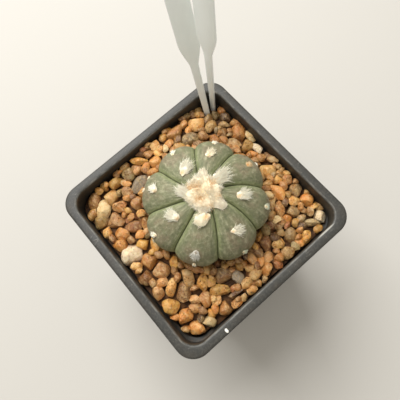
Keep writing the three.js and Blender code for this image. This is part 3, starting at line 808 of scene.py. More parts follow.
@dataclass
class Pot:
    """A square nursery pot with a rolled rim, a collar, a foot ring and drain holes."""

    half: float = 35.0
    height: float = RIM_HEIGHT
    base_half: float = 26.0
    corner: float = 6.5
    wall: float = 1.1
    floor: float = 2.2
    skirt: float = 6.0
    collar_half: float = 31.7
    collar_foot: float = 56.0
    collar_step: float = 0.9
    lip: float = 0.8
    foot_edge: float = 0.3
    skirt_edge: float = 0.15
    rim_thickness: float = 1.5
    fillet: float = 0.8
    corner_segments: int = 10
    drain_offset: float = 14.5
    drain_radius: float = 2.5
    recess: float = 40.0
    notch: tuple[float, float] = (8.0, 60.0)
    pad: float = 18.0

    def wall_half(self, height: float) -> float:
        """Give the wall's outer half side at a height."""
        top = self.collar_half + self.wall - self.collar_step
        return self.base_half + (top - self.base_half) * height / self.collar_foot

    def rings(self) -> list[Ring]:
        """List the rings from the foot, up the outside, over the rim and down the inside.

        Returns:
            The rings in order.
        """
        top, corner = self.height, self.corner
        inner, inner_corner = self.collar_half, corner - self.wall
        skirt_half, skirt_foot = self.half - self.wall, top - self.skirt
        floor_half = self.wall_half(self.floor) - self.wall
        foot, edge, fillet = self.foot_edge, self.skirt_edge, self.fillet
        rings = [
            Ring(self.base_half - 1, 0.0, corner - 1),
            Ring(self.base_half - foot, foot, corner - foot),
            Ring(self.wall_half(1.0), 1.0, corner),
            Ring(self.wall_half(self.collar_foot - 1), self.collar_foot - 1, corner),
            Ring(inner + self.wall, self.collar_foot, corner),
            Ring(inner + self.wall, top - self.rim_thickness, corner),
            Ring(skirt_half - 0.2, top - self.rim_thickness, inner_corner),
            Ring(skirt_half, skirt_foot, inner_corner),
            Ring(self.half - edge, skirt_foot, corner - edge),
            Ring(self.half, skirt_foot + edge, corner),
        ]
        for angle in quarter_turn():
            across, up = self.lip * (1 - math.cos(angle)), self.lip * math.sin(angle)
            rings.append(Ring(self.half - across, top - self.lip + up, corner - across))
        for angle in quarter_turn():
            out, down = self.lip * (1 - math.sin(angle)), self.lip * (1 - math.cos(angle))
            rings.append(Ring(inner + out, top - down, inner_corner + out))
        rings += [
            Ring(inner, self.collar_foot + self.collar_step, inner_corner),
            Ring(self.wall_half(self.collar_foot) - self.wall, self.collar_foot, inner_corner),
            Ring(floor_half, self.floor + fillet, inner_corner),
            Ring(floor_half - 0.25, self.floor + 0.25, inner_corner - 0.25),
            Ring(floor_half - fillet, self.floor, inner_corner - fillet),
        ]
        return rings

    def _add_ring(self, ring: Ring, first: bool) -> None:
        """Add one ring of edges, to the mesh in hand unless it is the first.

        Args:
            ring: The ring.
            first: Whether it starts the mesh.
        """
        bpy.ops.mesh.primitive_plane_add(size=2 * ring.half, location=(0, 0, ring.height))
        if first:
            bpy.ops.object.mode_set(mode="EDIT")
            bpy.ops.mesh.select_mode(type="VERT")
        bpy.ops.mesh.bevel(offset=ring.radius, segments=self.corner_segments, affect="VERTICES")
        bpy.ops.mesh.delete(type="ONLY_FACE")
        bpy.ops.mesh.select_all(action="DESELECT")

    @staticmethod
    def _select(piece: Piece, rings: Sequence[Ring]) -> None:
        """Select the vertices that lie on these rings.

        Args:
            piece: The mesh, in edit mode.
            rings: The rings.
        """
        bpy.ops.mesh.select_all(action="DESELECT")
        bpy.ops.object.mode_set(mode="OBJECT")
        for vertex in piece.data.vertices:
            vertex.select = any(ring.holds(vertex.co) for ring in rings)
        bpy.ops.object.mode_set(mode="EDIT")
        bpy.ops.mesh.select_mode(type="VERT")

    def shell(self) -> Piece:
        """Bridge the rings into the pot's closed shell.

        Returns:
            The shell.
        """
        Bench.clear()
        rings = self.rings()
        for number, ring in enumerate(rings):
            self._add_ring(ring, number == 0)
        bpy.ops.object.mode_set(mode="OBJECT")
        piece = Bench.named("nursery_pot")
        bpy.ops.object.transform_apply(location=True)
        bpy.ops.object.mode_set(mode="EDIT")
        for pair in zip(rings, rings[1:]):
            self._select(piece, pair)
            bpy.ops.mesh.bridge_edge_loops()
        for end in (rings[0], rings[-1]):
            self._select(piece, [end])
            bpy.ops.mesh.edge_face_add()
        bpy.ops.object.mode_set(mode="OBJECT")
        Bench.outward(piece)
        return piece

    @staticmethod
    def block(x: float, y: float, low: float, high: float, radius: float) -> Piece:
        """Make a block about the axis with rounded upright edges.

        Args:
            x: Its size along X.
            y: Its size along Y.
            low: Its underside's height.
            high: Its top's height.
            radius: The upright edges' radius, or 0.

        Returns:
            The block.
        """
        Bench.clear()
        middle = (0, 0, (low + high) / 2)
        bpy.ops.mesh.primitive_cube_add(size=1, location=middle, scale=(x, y, high - low))
        piece = Bench.named("block")
        bpy.ops.object.transform_apply(location=True, scale=True)
        if radius:
            bpy.ops.object.mode_set(mode="EDIT")
            bpy.ops.mesh.select_mode(type="EDGE")
            bpy.ops.mesh.select_all(action="DESELECT")
            bpy.ops.object.mode_set(mode="OBJECT")
            for edge in piece.data.edges:
                ends = [piece.data.vertices[i].co for i in edge.vertices]
                edge.select = abs(ends[0].z - ends[1].z) > 1e-3
            bpy.ops.object.mode_set(mode="EDIT")
            bpy.ops.mesh.bevel(offset=radius, segments=6)
            bpy.ops.object.mode_set(mode="OBJECT")
        return piece

    def cut_foot(self, piece: Piece) -> None:
        """Cut the foot's recess, with its notches and its pad, and the drain holes.

        Args:
            piece: The shell.
        """
        width, length = self.notch
        recess = self.block(self.recess, self.recess, -1, 1, 4)
        Bench.carve(recess, self.block(width, length, -1.2, 1, 0), "UNION")
        Bench.carve(recess, self.block(length, width, -1.4, 1, 0), "UNION")
        Bench.carve(recess, self.block(self.pad, self.pad, -2, 2, 2))
        Bench.carve(piece, recess)
        for x in (-self.drain_offset, self.drain_offset):
            for y in (-self.drain_offset, self.drain_offset):
                Bench.clear()
                bpy.ops.mesh.primitive_cylinder_add(
                    vertices=32, radius=self.drain_radius, depth=4 * self.floor, location=(x, y, 0)
                )
                drain = Bench.named("drain")
                bpy.ops.object.transform_apply(location=True)
                Bench.carve(piece, drain)

    def build(self) -> Piece:
        """Model and dress the pot.

        Returns:
            The pot.
        """
        piece = self.shell()
        self.cut_foot(piece)
        Bench.smooth(piece, 34)
        return Bench.hand_over(piece, "pot_plastic", PotPlastic().material(), ["pot"])


# ---------------------------------------------------------------------------------------------------
# The plant's form


@dataclass(frozen=True)
class Tuft:
    """A tuft of wool on a rib's crest.

    Its place is its angle above the equator, and how far it is off the crest, in degrees. It is combed
    towards an azimuth.
    """

    polar: float
    size: float
    combed: float
    length: float
    lie: float = 0.8
    off: float = 0.0
    tint: Colour = (255, 244, 216)
    heart: Colour = (242, 202, 144)


@dataclass(frozen=True)
class Rib:
    """One rib, with its tufts from the crown outwards.

    It starts at a groove, whose azimuth is given at the equator, with its turn towards the crown. Both
    are in degrees.
    """

    groove: float
    turn: float
    tufts: tuple[Tuft, ...]


WHITE_WOOL = (255, 249, 228)

RIBS = (
    Rib(
        17.5,
        6,
        (
            Tuft(51, 1.6, 20, 2.0),
            Tuft(28, 1.0, 30, 1.2, tint=WHITE_WOOL),
            Tuft(3, 0.7, 40, 0.9),
        ),
    ),
    Rib(
        59.5,
        9,
        (
            Tuft(63, 2.1, 22, 3.6, tint=WHITE_WOOL, lie=1.1),
            Tuft(31, 1.1, 60, 1.0, tint=WHITE_WOOL),
            Tuft(4, 0.7, 80, 0.9),
        ),
    ),
    Rib(
        105.5,
        15,
        (
            Tuft(41, 1.55, 100, 1.7, tint=WHITE_WOOL),
            Tuft(18, 0.8, 130, 0.6),
            Tuft(15, 0.75, 120, 0.6, off=-13),
            Tuft(-6, 0.6, 130, 0.7),
        ),
    ),
    Rib(
        152.5,
        9,
        (
            Tuft(58, 1.7, 112, 3.0, tint=WHITE_WOOL, lie=1.2),
            Tuft(22, 1.1, 150, 1.1, tint=WHITE_WOOL),
            Tuft(-5, 0.7, 180, 0.9),
        ),
    ),
    Rib(
        197.5,
        8,
        (
            Tuft(68, 2.5, 165, 1.3, lie=0.7),
            # The second tuft's grey tint and dark heart are painted shade.
            Tuft(32, 1.35, 215, 1.8, tint=(214, 212, 200), heart=(120, 104, 84)),
            Tuft(9, 0.7, 220, 0.9),
            Tuft(-14, 0.6, 220, 0.7),
        ),
    ),
    Rib(
        241.5,
        20,
        (
            Tuft(46, 1.55, 325, 2.4, tint=WHITE_WOOL),
            Tuft(10, 0.95, 280, 1.0, tint=(206, 212, 184)),
            Tuft(-12, 0.6, 260, 0.7),
        ),
    ),
    Rib(
        289,
        20,
        (
            Tuft(57, 1.8, 334, 2.8, tint=WHITE_WOOL),
            Tuft(21, 1.15, 320, 0.9, tint=(216, 222, 196)),
            Tuft(-4, 0.7, 310, 0.8),
        ),
    ),
    Rib(
        331,
        13,
        (
            Tuft(34, 1.2, 350, 0.9, tint=(236, 206, 156), heart=(206, 140, 70)),
            Tuft(5, 0.7, 20, 0.8, tint=WHITE_WOOL),
        ),
    ),
)


@dataclass
class PlantForm:
    """The stem's mathematical form, which the skin, the wool and the gravel all follow."""

    x: float = 1.8
    y: float = 0.2
    equator: float = 68.0
    radius: float = 20.6
    crown_rise: float = 11.4
    flank_depth: float = 15.0
    neck_polar: float = -66.0
    dimple: float = 1.4
    dimple_radius: float = 4.2
    sharpness: float = 3.0
    crown_groove: float = 0.4
    equator_groove: float = 1.8

    def crest(self, polar: float) -> Vector:
        """Give the crest's distance from the axis and its height, at an angle above the equator.

        Args:
            polar: The angle in degrees.

        Returns:
            The distance and the height.
        """
        angle = math.radians(polar)
        out = self.radius * math.cos(angle)
        rise = self.crown_rise if polar > 0 else -self.flank_depth
        dimple = self.dimple * math.exp(-((out / self.dimple_radius) ** 2)) if polar > 0 else 0.0
        return Vector((out, self.equator + rise * abs(math.sin(angle)) - dimple))

    def normal(self, polar: float) -> Vector:
        """Give the direction out of the crest, as away from the axis and up.

        Args:
            polar: The angle in degrees.

        Returns:
            The direction, one long.
        """
        angle = math.radians(polar)
        half = self.crown_rise if polar > 0 else self.flank_depth
        return Vector((math.cos(angle) / self.radius, math.sin(angle) / half)).normalized()

    def rib_azimuths(self, rib: int, out: float) -> tuple[float, float]:
        """Give the azimuths of a rib's two grooves at a distance from the axis, in radians.

        Args:
            rib: The rib's number.
            out: The distance.

        Returns:
            The azimuth where the rib starts and the one where it ends.
        """
        towards_crown = (1 - min(out / self.radius, 1.0)) ** 1.3
        start, end = RIBS[rib], RIBS[(rib + 1) % len(RIBS)]
        first = start.groove + start.turn * towards_crown
        last = end.groove + end.turn * towards_crown + (360 if end is RIBS[0] else 0)
        return math.radians(first), math.radians(last)

    def groove_depth(self, crest: Vector, share: float) -> float:
        """Give how deep the skin lies under the crest, by the share of the way across a rib.

        Args:
            crest: The crest's distance from the axis and its height.
            share: 0 at one groove and 1 at the next.

        Returns:
            The depth.
        """
        outwards = min(crest.x / self.radius, 1.0)
        fade = smoothstep(crest.y, self.crest(self.neck_polar).y, self.equator)
        middle = smoothstep(crest.x, 0, 4)
        full = (self.crown_groove + self.equator_groove * outwards**0.86) * fade * middle
        return full * abs(2 * share - 1) ** self.sharpness

    def tuft_frame(self, rib: int, tuft: Tuft) -> Matrix:
        """Give the frame of a tuft: X away from the crown, Z out of the stem.

        Args:
            rib: The rib's number.
            tuft: The tuft.

        Returns:
            The frame.
        """
        crest = self.crest(tuft.polar)
        first, last = self.rib_azimuths(rib, crest.x)
        azimuth = (first + last) / 2 + math.radians(tuft.off)
        share = 0.5 + math.radians(tuft.off) / (last - first)
        lean = self.normal(tuft.polar)
        out = Vector((lean.x * math.cos(azimuth), lean.x * math.sin(azimuth), lean.y))
        across = Vector((-math.sin(azimuth), math.cos(azimuth), 0))
        x, y = self.x + crest.x * math.cos(azimuth), self.y + crest.x * math.sin(azimuth)
        spot = Vector((x, y, crest.y)) - self.groove_depth(crest, share) * out
        return framed(spot, across.cross(out), across, out)

    def flank_over(self, x: np.ndarray, y: np.ndarray) -> np.ndarray:
        """Give the height of the flank's underside over points, or infinity where it doesn't reach.

        Args:
            x: The points' X.
            y: Their Y.

        Returns:
            The heights.
        """
        out = np.hypot(x - self.x, y - self.y) / (self.radius + 0.3)
        under = self.equator - self.flank_depth * np.sqrt(np.maximum(1 - out**2, 0)) - 0.3
        return np.where(out < 1, under, np.inf)


@dataclass
class Stem:
    """The ribbed stem and its tap root, spun from a profile and then grooved."""

    form: PlantForm
    columns_per_rib: int = 24
    polar_step: float = 3.0
    crease_depth: float = 0.28
    crease_width: float = 0.26
    gathered: float = 0.78
    swelling: float = 0.28
    crease_heights: tuple[float, float] = (54.0, 64.0)
    streak_reach: float = 12.0
    root: tuple[tuple[float, float], ...] = ((7.2, 48), (4.4, 37), (2.2, 25), (1.1, 15), (0, 13))

    def profile(self) -> list[tuple[float, float, float]]:
        """List the profile's points from the crown down: distance from the axis, height and angle.

        Returns:
            The points.
        """
        polars = [90.0]
        while polars[-1] > self.form.neck_polar:
            polars.append(max(polars[-1] - self.polar_step, self.form.neck_polar))
        points = [(*self.form.crest(polar), polar) for polar in polars]
        points[0] = (0.0, points[0][1], 90.0)
        return points + [(out, height, self.form.neck_polar) for out, height in self.root]

    def spun(self, profile: Sequence[tuple[float, float, float]]) -> Piece:
        """Draw the profile vertex by vertex and spin it round the axis.

        Args:
            profile: The profile's points.

        Returns:
            The stem, round and about the Z axis.
        """
        piece = Bench.trace("star_cactus_stem", [(out, 0, height) for out, height, _ in profile])
        steps = self.columns_per_rib * len(RIBS)
        bpy.ops.mesh.spin(steps=steps, angle=2 * math.pi, center=(0, 0, 0), axis=(0, 0, 1))
        bpy.ops.object.mode_set(mode="OBJECT")
        Bench.outward(piece)
        return piece

    def build(self) -> Piece:
        """Model and dress the stem.

        Returns:
            The stem.
        """
        profile = self.profile()
        piece = self.spun(profile)
        rows = Bench.points(piece)
        stations = np.array([[out, height] for out, height, _ in profile])
        steps = self.columns_per_rib * len(RIBS)
        from_groove = np.zeros(len(rows))
        along_rib = np.zeros((len(rows), 3))
        lengths = np.concatenate(([0.0], np.cumsum(np.hypot(*np.diff(stations, axis=0).T))))
        for number, (x, y, z) in enumerate(rows.tolist()):
            out = math.hypot(x, y)
            station = int(np.argmin(np.abs(stations[:, 0] - out) + np.abs(stations[:, 1] - z)))
            polar = profile[station][2]
            column = round(math.atan2(y, x) / (2 * math.pi) * steps) % steps
            rib, along = divmod(column, self.columns_per_rib)
            even = along / self.columns_per_rib
            share = even - self.gathered * math.sin(2 * math.pi * even) / (2 * math.pi)
            first, last = self.form.rib_azimuths(rib, out)
            azimuth = first + share * (last - first)
            crest = Vector((out, z))
            distance = min(share, 1 - share) * (last - first) * out
            from_groove[number] = distance
            along_rib[number] = (2 * math.pi * column / steps * self.streak_reach, lengths[station], 0)
            fade = smoothstep(out, 2, 6) * smoothstep(z, *self.crease_heights)
            depth = self.form.groove_depth(crest, share)
            depth += fade * self.crease_depth * math.exp(-((distance / self.crease_width) ** 2))
            swell = noise.noise(Vector((x * 0.22, y * 0.22, z * 0.3)))
            depth -= self.swelling * swell * smoothstep(out, 4, 10) * smoothstep(distance, 0.4, 3)
            grown = crest - depth * self.form.normal(polar)
            rows[number] = (
                self.form.x + grown.x * math.cos(azimuth),
                self.form.y + grown.x * math.sin(azimuth),
                grown.y,
            )
        Bench.set_points(piece, rows)
        Bench.paint(piece, "from_groove", "FLOAT", from_groove)
        Bench.paint(piece, "along_rib", "FLOAT_VECTOR", along_rib)
        Bench.smooth(piece, 60)
        return Bench.hand_over(piece, "cactus_skin", CactusSkin().material(), ["cactus"])


# ---------------------------------------------------------------------------------------------------
# Wool


@dataclass(frozen=True)
class Strand:
    """One hair of wool: its points, its thickness at the root and its colour."""

    points: tuple[Vector, ...]
    thickness: float
    tint: Colour


class Spinner:
    """Turns strands and felt pads into meshes."""

    bends = 4
    taper = 0.85

    def __init__(self, seed: int, thickness: tuple[float, float]) -> None:
        """Start from a seed, for hairs whose roots are between two thicknesses."""
        self.draw = Draws(seed)
        self.thickness = thickness

    def jitter(self) -> Vector:
        """Give a vector with each coordinate between -1 and 1."""
        return Vector([self.draw.between(-1, 1) for _ in range(3)])

    def hair(self, root: Vector, direction: Vector, droop: Vector, length: float, tint: Colour) -> Strand:
        """Grow a hair.

        Args:
            root: Where it starts.
            direction: Where it points at its root.
            droop: What bends it on the way.
            length: Its length.
            tint: Its colour.

        Returns:
            The hair, with a curl of its own.
        """
        curl = 0.35 * self.jitter()
        points = [root]
        way = direction.normalized()
        for _ in range(self.bends):
            way = (way + 0.28 * droop + 0.4 * curl + 0.16 * self.jitter()).normalized()
            points.append(points[-1] + way * (length / self.bends))
        thickness = self.draw.between(*self.thickness)
        return Strand(tuple(points), thickness, shaded(tint, self.draw.between(0.9, 1.06)))

    def spin(self, name: str, strands: Sequence[Strand]) -> Piece:
        """Make one mesh of all the strands, which are square in section and end in points.

        Args:
            name: Its name.
            strands: The strands.

        Returns:
            The mesh.
        """
        curve = bpy.data.curves.new(name, "CURVE")
        curve.dimensions = "3D"
        curve.bevel_depth = 1.0
        curve.bevel_resolution = 0
        for strand in strands:
            spline = curve.splines.new("POLY")
            spline.points.add(len(strand.points) - 1)
            last = len(strand.points) - 1
            for number, (point, place) in enumerate(zip(spline.points, strand.points, strict=True)):
                point.co = (*place, 1.0)
                point.radius = strand.thickness * (1 - self.taper * number / last)
        piece = bpy.data.objects.new(name, curve)
        bpy.context.scene.collection.objects.link(piece)
        Bench.take(piece)
        bpy.ops.object.convert(target="MESH")
        piece = bpy.context.object
        per_strand = len(piece.data.vertices) // len(strands)
        tints = np.repeat([linear(strand.tint) for strand in strands], per_strand, axis=0)
        Bench.paint(piece, "tint", "FLOAT_COLOR", tints)
        return piece

    def pad(
        self,
        matrix: Matrix,
        size: Sequence[float],
        rough: float,
        tints: Sequence[Colour],
        heart_at: float = 0.0,
    ) -> Piece:
        """Make a felted pad.

        Args:
            matrix: Its frame.
            size: Its half sizes.
            rough: How far its surface wanders, as a share of its size.
            tints: Its colour at the heart and away from it.
            heart_at: Where the heart lies along X, as a share of its size.

        Returns:
            The pad.
        """
        Bench.clear()
        bpy.ops.mesh.primitive_ico_sphere_add(subdivisions=3, radius=1)
        piece = Bench.named("pad")
        rows = Bench.points(piece)
        shift = 40 * self.jitter()
        shares = np.zeros(len(rows))
        for number, row in enumerate(rows):
            point = Vector(row)
            wander = noise.noise(1.6 * point + shift) + 0.5 * noise.noise(4 * point + shift)
            shares[number] = 1.2 * math.hypot(point.x - heart_at, point.y) + 0.5 * wander
            rows[number] = point * (1 + rough * wander)
        Bench.set_points(piece, rows)
        colours = [np.array(linear(tint)) for tint in tints]
        shares = np.clip(shares, 0, 1)[:, None]
        Bench.paint(piece, "tint", "FLOAT_COLOR", colours[0] * (1 - shares) + colours[1] * shares)
        piece.data.transform(matrix @ Matrix.Diagonal((*size, 1)))
        return piece


@dataclass
class TuftWool:
    """The tufts down the ribs: a felted pad each, with hairs combed one way."""

    form: PlantForm
    hairs_per_millimetre: float = 130.0
    pad_share: float = 0.74
    thickness: tuple[float, float] = (0.055, 0.1)
    seed: int = 4111

    def build(self) -> Piece:
        """Model and dress the tufts.

        Returns:
            The tufts, joined.
        """
        spinner = Spinner(self.seed, self.thickness)
        strands: list[Strand] = []
        pads: list[Piece] = []
        for number, rib in enumerate(RIBS):
            for tuft in rib.tufts:
                where = self.form.tuft_frame(number, tuft)
                comb = self.comb(where, tuft)
                half = self.pad_share * tuft.size
                out = where.to_3x3() @ Vector((0, 0, 1))
                middle = framed(where.translation + 0.1 * tuft.size * comb, comb, out.cross(comb), out)
                size = (1.25 * half, 0.95 * half, 0.62 * half)
                pads.append(spinner.pad(middle, size, 0.35, (tuft.heart, tuft.tint), -0.65))
                strands += self.hairs(spinner, where, tuft, comb)
        wool = spinner.spin("tuft_hairs", strands)
        piece = Bench.join([wool, *pads], "tuft_wool")
        Bench.smooth(piece, 60)
        return Bench.hand_over(piece, "wool", Wool().material())

    @staticmethod
    def comb(where: Matrix, tuft: Tuft) -> Vector:
        """Give the direction along the skin that a tuft is combed in.

        Args:
            where: The tuft's frame.
            tuft: The tuft.

        Returns:
            The direction, one long.
        """
        out = where.to_3x3() @ Vector((0, 0, 1))
        comb = heading(math.radians(tuft.combed))
        return (comb - comb.dot(out) * out).normalized()

    def hairs(self, spinner: Spinner, where: Matrix, tuft: Tuft, comb: Vector) -> list[Strand]:
        """Grow one tuft's hairs.

        Args:
            spinner: Where the draws come from.
            where: The tuft's frame.
            tuft: The tuft.
            comb: The direction that it is combed in.

        Returns:
            Its hairs.
        """
        out = where.to_3x3() @ Vector((0, 0, 1))
        grown = []
        for _ in range(round(self.hairs_per_millimetre * tuft.size)):
            turn, reach = 2 * math.pi * spinner.draw(), math.sqrt(spinner.draw())
            flat = heading(turn) * reach
            height = 0.4 * math.sqrt(1 - 0.7 * reach**2)
            root = where @ (tuft.size * Vector((0.8 * flat.x, 0.7 * flat.y, height - 0.1)))
            root += 0.45 * tuft.size * spinner.draw() * comb
            radial = where.to_3x3() @ flat
            direction = 0.36 * out + tuft.lie * comb + 0.5 * radial + 0.34 * spinner.jitter()
            length = tuft.length * spinner.draw.between(0.3, 0.95)
            droop = 0.5 * comb - 0.35 * out
            grown.append(spinner.hair(root, direction, droop, length, tuft.tint))
        return grown


@dataclass(frozen=True)
class CrownLobe:
    """A young tuft that joins the mat of wool on the growing tip."""

    azimuth: float
    reach: float
    size: float
    combed: float
    length: float
    tint: Colour = (248, 238, 214)
    heart: Colour = (242, 214, 164)


@dataclass
class CrownWool:
    """The mat of wool on the growing tip. Its ochre patches are each a place and a size."""

    form: PlantForm
    radius: float = 5.05
    rise: float = 1.7
    matted_hairs: int = 1500
    fringe_hairs: int = 700
    locks: int = 34
    thickness: tuple[float, float] = (0.05, 0.1)
    seed: int = 977
    level_polar: float = 72.0
    lobe_hair_count: int = 240
    tint: Colour = (252, 240, 212)
    heart: Colour = (246, 218, 166)
    ochre_tint: Colour = (232, 180, 112)
    lobes: tuple[CrownLobe, ...] = (
        CrownLobe(50, 5.2, 1.9, 50, 1.3),
        CrownLobe(284, 5.4, 2.0, 290, 1.2),
        CrownLobe(228, 4.6, 1.7, 230, 1.1),
        CrownLobe(137, 5.8, 1.9, 106, 2.4, WHITE_WOOL),
        CrownLobe(2, 6.8, 2.1, 344, 3.8, WHITE_WOOL, (236, 196, 140)),
    )
    ochre: tuple[tuple[float, float, float], ...] = (
        (-2.0, 3.4, 1.2),
        (-0.4, 2.0, 1.0),
        (3.2, 0.4, 1.1),
        (-2.0, -1.0, 1.2),
        (-1.6, -4.4, 1.1),
        (2.6, -4.0, 1.0),
    )

    def tinted(self, spinner: Spinner, x: float, y: float) -> Colour:
        """Give the wool's colour at a place, by the ochre patches near it.

        Args:
            spinner: Where the draws come from.
            x: The place's X from the crown's middle.
            y: Its Y.

        Returns:
            The colour.
        """
        near = max(math.exp(-((x - px) ** 2 + (y - py) ** 2) / size**2) for px, py, size in self.ochre)
        share = min(near * spinner.draw.between(0.5, 1.1), 1.0)
        red, green, blue = (a + share * (b - a) for a, b in zip(self.tint, self.ochre_tint, strict=True))
        return (red, green, blue)

    def build(self) -> Piece:
        """Model and dress the crown's wool.

        Returns:
            The mat.
        """
        spinner = Spinner(self.seed, self.thickness)
        centre = Vector((self.form.x, self.form.y, self.form.crest(self.level_polar).y))
        core = Matrix.Translation(centre)
        pads = [spinner.pad(core, (self.radius, self.radius, self.rise), 0.3, (self.heart, self.tint))]
        strands: list[Strand] = []
        for lobe in self.lobes:
            way = heading(math.radians(lobe.azimuth))
            turn = Matrix.Rotation(math.radians(lobe.combed), 4, "Z")
            spot = core @ Matrix.Translation(lobe.reach * way - Vector((0, 0, 0.2))) @ turn
            size = (1.2 * lobe.size, 0.85 * lobe.size, 0.6 * lobe.size)
            pads.append(spinner.pad(spot, size, 0.3, (lobe.heart, lobe.tint), -0.6))
            strands += self.lobe_hairs(spinner, spot, lobe)
        strands += self.mat_hairs(spinner, centre)
        wool = spinner.spin("crown_hairs", strands)
        piece = Bench.join([wool, *pads], "crown_wool_mat")
        Bench.smooth(piece, 60)
        return Bench.hand_over(piece, "wool", Wool().material(), ["crown_wool"])

    def lobe_hairs(self, spinner: Spinner, spot: Matrix, lobe: CrownLobe) -> list[Strand]:
        """Grow a lobe's hairs, combed one way.

        Args:
            spinner: Where the draws come from.
            spot: The lobe's frame.
            lobe: The lobe.

        Returns:
            Its hairs.
        """
        comb = heading(math.radians(lobe.combed))
        droop = 0.5 * comb - Vector((0, 0, 0.35))
        grown = []
        for _ in range(self.lobe_hair_count):
            turn, reach = 2 * math.pi * spinner.draw(), math.sqrt(spinner.draw())
            flat = Vector((math.cos(turn) * reach, math.sin(turn) * reach, 0))
            height = 0.62 * math.sqrt(1 - 0.8 * reach**2)
            root = spot @ (lobe.size * Vector((1.1 * flat.x, 0.8 * flat.y, height)))
            direction = 0.9 * comb + Vector((0, 0, 0.55)) + 0.5 * (spot.to_3x3() @ flat)
            direction += 0.35 * spinner.jitter()
            length = lobe.length * spinner.draw.between(0.35, 1.0)
            grown.append(spinner.hair(root, direction, droop, length, lobe.tint))
        return grown

    def mat_hairs(self, spinner: Spinner, centre: Vector) -> list[Strand]:
        """Grow the matted hairs over the core, and the fringe round it.

        Args:
            spinner: Where the draws come from.
            centre: The core's middle.

        Returns:
            The hairs.
        """
        draw = spinner.draw
        locks = []
        for _ in range(self.locks):
            locks.append((2 * math.pi * draw(), draw.between(0.7, 2.3), draw.between(-1.8, 1.8)))
        grown = []
        for number in range(self.matted_hairs + self.fringe_hairs):
            fringe = number >= self.matted_hairs
            lock_turn, lock_length, lock_bend = locks[number % self.locks]
            turn = lock_turn + 0.13 * draw.between(-1, 1) if fringe else 2 * math.pi * draw()
            reach = draw.between(0.8, 1.0) if fringe else math.sqrt(draw())
            x, y = self.radius * reach * math.cos(turn), self.radius * reach * math.sin(turn)
            lift = self.rise * math.sqrt(max(1 - 0.97 * reach**2, 0)) - 0.1
            away = heading(turn)
            aside = Vector((-away.y, away.x, 0))
            droop = 0.3 * away - Vector((0, 0, 0.7))
            if fringe:
                direction = 1.1 * away + Vector((0, 0, 0.6)) - 0.4 * lock_bend * aside
                direction += 0.25 * spinner.jitter()
                length = lock_length * draw.between(0.5, 1.0)
                droop += lock_bend * aside
            else:
                direction = 0.6 * reach * away + draw.between(-1, 1) * aside + 0.6 * spinner.jitter()
                direction += Vector((0, 0, 0.5))
                length = draw.between(0.8, 1.8)
            root = centre + Vector((x, y, lift))
            tint = WHITE_WOOL if fringe else self.tinted(spinner, x, y)
            grown.append(spinner.hair(root, direction, droop, length, tint))
        return grown


# ---------------------------------------------------------------------------------------------------
# Gravel


class StoneColour(Enum):
    """The colours of the gravel's stones."""

    TAN = (196, 156, 94)
    ORANGE_TAN = (190, 136, 72)
    OCHRE = (196, 150, 74)
    AMBER = (192, 132, 60)
    PINK_TAN = (194, 150, 98)
    GREY_TAN = (170, 142, 98)
    BROWN_TAN = (156, 112, 62)
    GREY_BROWN = (120, 94, 64)
    RED_BROWN = (152, 96, 54)
    BROWN = (126, 86, 48)
    OLIVE = (138, 118, 72)
    GREY = (130, 119, 102)
    CREAM = (214, 190, 140)
    WHITE = (215, 199, 168)
    DARK = (84, 60, 40)


COMMON_COLOURS = (
    (StoneColour.ORANGE_TAN, 0.2),
    (StoneColour.TAN, 0.18),
    (StoneColour.BROWN_TAN, 0.14),
    (StoneColour.OCHRE, 0.12),
    (StoneColour.GREY_TAN, 0.08),
    (StoneColour.PINK_TAN, 0.07),
    (StoneColour.AMBER, 0.06),
    (StoneColour.RED_BROWN, 0.05),
    (StoneColour.BROWN, 0.04),
    (StoneColour.OLIVE, 0.02),
    (StoneColour.CREAM, 0.02),
    (StoneColour.DARK, 0.02),
)


@dataclass(frozen=True)
class FeatureStone:
    """A stone that stands out by its size or colour."""

    x: float
    y: float
    size: tuple[float, float, float]
    yaw: float
    colour: StoneColour


